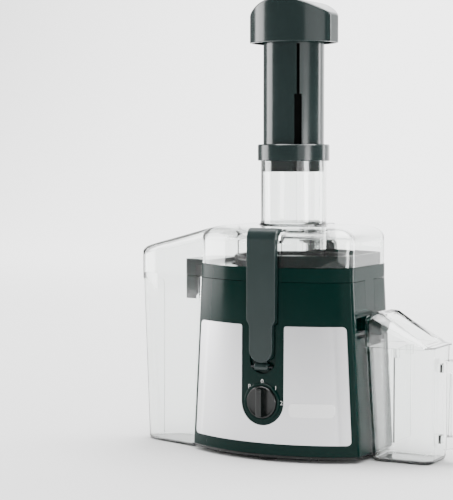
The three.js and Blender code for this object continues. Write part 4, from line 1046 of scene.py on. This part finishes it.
sieve_low, sieve_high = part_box("sieve_cone")
sieve_top_radius = (sieve_high.x - sieve_low.x) / 2 / mm
sieve_bottom, sieve_top = sieve_low.z / mm, sieve_high.z / mm
sieve = lathe("sieve_mesh_cone", [(47.8, sieve_bottom), (49.3, sieve_bottom), (sieve_top_radius, sieve_top),
                                  (sieve_top_radius - 1.5, sieve_top)], at(0, 0, 0))
smooth(sieve, 40)

# The mesh is thin stainless with etched holes about half a millimetre wide; light passes through them.
sieve_steel, tree, place = textured_material("etched_steel_mesh")
cells = add_node(tree, "TexVoronoi", {"Vector": place, "Scale": 1 / (1.5 * mm),
                                      "Randomness": 0.25})
holes = add_node(tree, "Math", {0: cells.outputs["Distance"], 1: 0.3}, operation="LESS_THAN")
solid_steel = add_node(tree, "BsdfPrincipled", {"Base Color": srgb("bfc1c3"), "Metallic": 1.0,
                                                "Roughness": 0.3})
clear_hole = add_node(tree, "BsdfTransparent")
mesh_mix = add_node(tree, "MixShader", {0: holes.outputs[0], 1: solid_steel.outputs[0],
                                        2: clear_hole.outputs[0]})
dress(sieve, finish_material(sieve_steel, mesh_mix), "rotor", "bright_steel", "sieve_cone")


# ---- Drive and motor -------------------------------------------------------------------------------
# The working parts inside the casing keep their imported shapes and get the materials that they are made
# of: plated and ground steel, stacked iron, enamelled copper, brass, carbon, nylon and lacquered board.
def finish_nodes(material, *names):
    for name in names:
        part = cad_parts[name]
        part.data.materials.clear()
        part.data.materials.append(material)


# Ground steel has fine turning lines round it and a bright, slightly cool surface.
ground_steel = brushed_metal("ground_bearing_steel", "c4c6c9", 0.2, line_width=0.3, line_length=0.3,
                             relief=0.06)
finish_nodes(ground_steel, "motor_shaft", "lower_bearing", "upper_bearing",
             *[f"motor_tie_bolt_{number}" for number in range(1, 5)])
finish_nodes(brushed_metal("oiled_pin_steel", "3c3d3f", 0.4, line_width=0.3, line_length=2),
             "latch_pin_front", "latch_pin_rear")

# Zinc plate is soft grey with a mottled spangle a few millimetres across.
zinc, tree, place = textured_material("zinc_plated_steel")
spangle = add_node(tree, "TexVoronoi", {"Vector": place, "Scale": 1 / (4 * mm)})
tone = add_node(tree, "MapRange", {"Value": spangle.outputs["Distance"], "To Min": 0.32, "To Max": 0.5})
finish_material(zinc, add_node(tree, "BsdfPrincipled", {
    "Base Color": srgb("b4b8ba"), "Metallic": 1.0, "Roughness": tone.outputs["Result"]}))
finish_nodes(zinc, "lower_motor_bracket", "upper_motor_bracket")


# Stacked or wound parts show their layers: the layer's height is in millimetres.
def layered_metal(name, colour, seam_colour, layer, roughness, metallic=1.0):
    """Metal in level layers, with a darker seam between them."""
    material, tree, place = textured_material(name)
    split = add_node(tree, "SeparateXYZ", {"Vector": place})
    count = add_node(tree, "Math", {0: split.outputs["Z"], 1: 1 / (layer * mm)}, operation="MULTIPLY")
    phase = add_node(tree, "Math", {0: count.outputs[0]}, operation="FRACT")
    seam = add_node(tree, "Math", {0: phase.outputs[0], 1: 0.22}, operation="LESS_THAN")
    tint = add_node(tree, "Mix", {"Factor": seam.outputs[0], "A": srgb(colour), "B": srgb(seam_colour)},
                    data_type="RGBA")
    step = add_node(tree, "Bump", {"Height": seam.outputs[0], "Strength": 0.4, "Distance": 0.05 * mm},
                    invert=True)
    return finish_material(material, add_node(tree, "BsdfPrincipled", {
        "Base Color": tint.outputs["Result"], "Metallic": metallic, "Roughness": roughness,
        "Normal": step.outputs["Normal"]}))


finish_nodes(layered_metal("stacked_motor_iron", "5d6064", "2e3033", 0.65, 0.5),
             "stator_core", "armature_core")
finish_nodes(layered_metal("enamelled_copper_wire", "a8562a", "5e2c14", 0.8, 0.3),
             "field_coil_left", "field_coil_right", "armature_winding")
finish_nodes(brushed_metal("commutator_copper", "b87448", 0.28, line_width=0.5, line_length=0.5),
             "commutator")
finish_nodes(brushed_metal("pressed_brass", "b5924c", 0.35, line_width=0.6, line_length=6),
             "brush_holder_front", "brush_holder_rear")
finish_nodes(moulded_plastic("brush_carbon", "1c1c1d", 0.6, wave=0.4, grain_size=0.3), "carbon_brush_front",
             "carbon_brush_rear")
finish_nodes(moulded_plastic("natural_nylon", "dcdacf", 0.45), "cooling_fan")
finish_nodes(satin_black, "rotary_switch", "safety_microswitch", "drive_coupling", "cord_inlet")
finish_nodes(foot_rubber, "shaft_seal")

# The board is green lacquer over copper tracks, which show as slightly lighter raised lines.
lacquer, tree, place = textured_material("lacquered_board")
tracks = add_node(tree, "TexBrick", {"Vector": place, "Scale": 1 / (4 * mm),
                                     "Color1": srgb("1d5a34"), "Color2": srgb("1a5230"),
                                     "Mortar": srgb("3a7d4c"), "Mortar Size": 0.06})
finish_material(lacquer, add_node(tree, "BsdfPrincipled", {
    "Base Color": tracks.outputs["Color"], "Roughness": 0.25, "IOR": 1.5}))
finish_nodes(lacquer, "circuit_board")
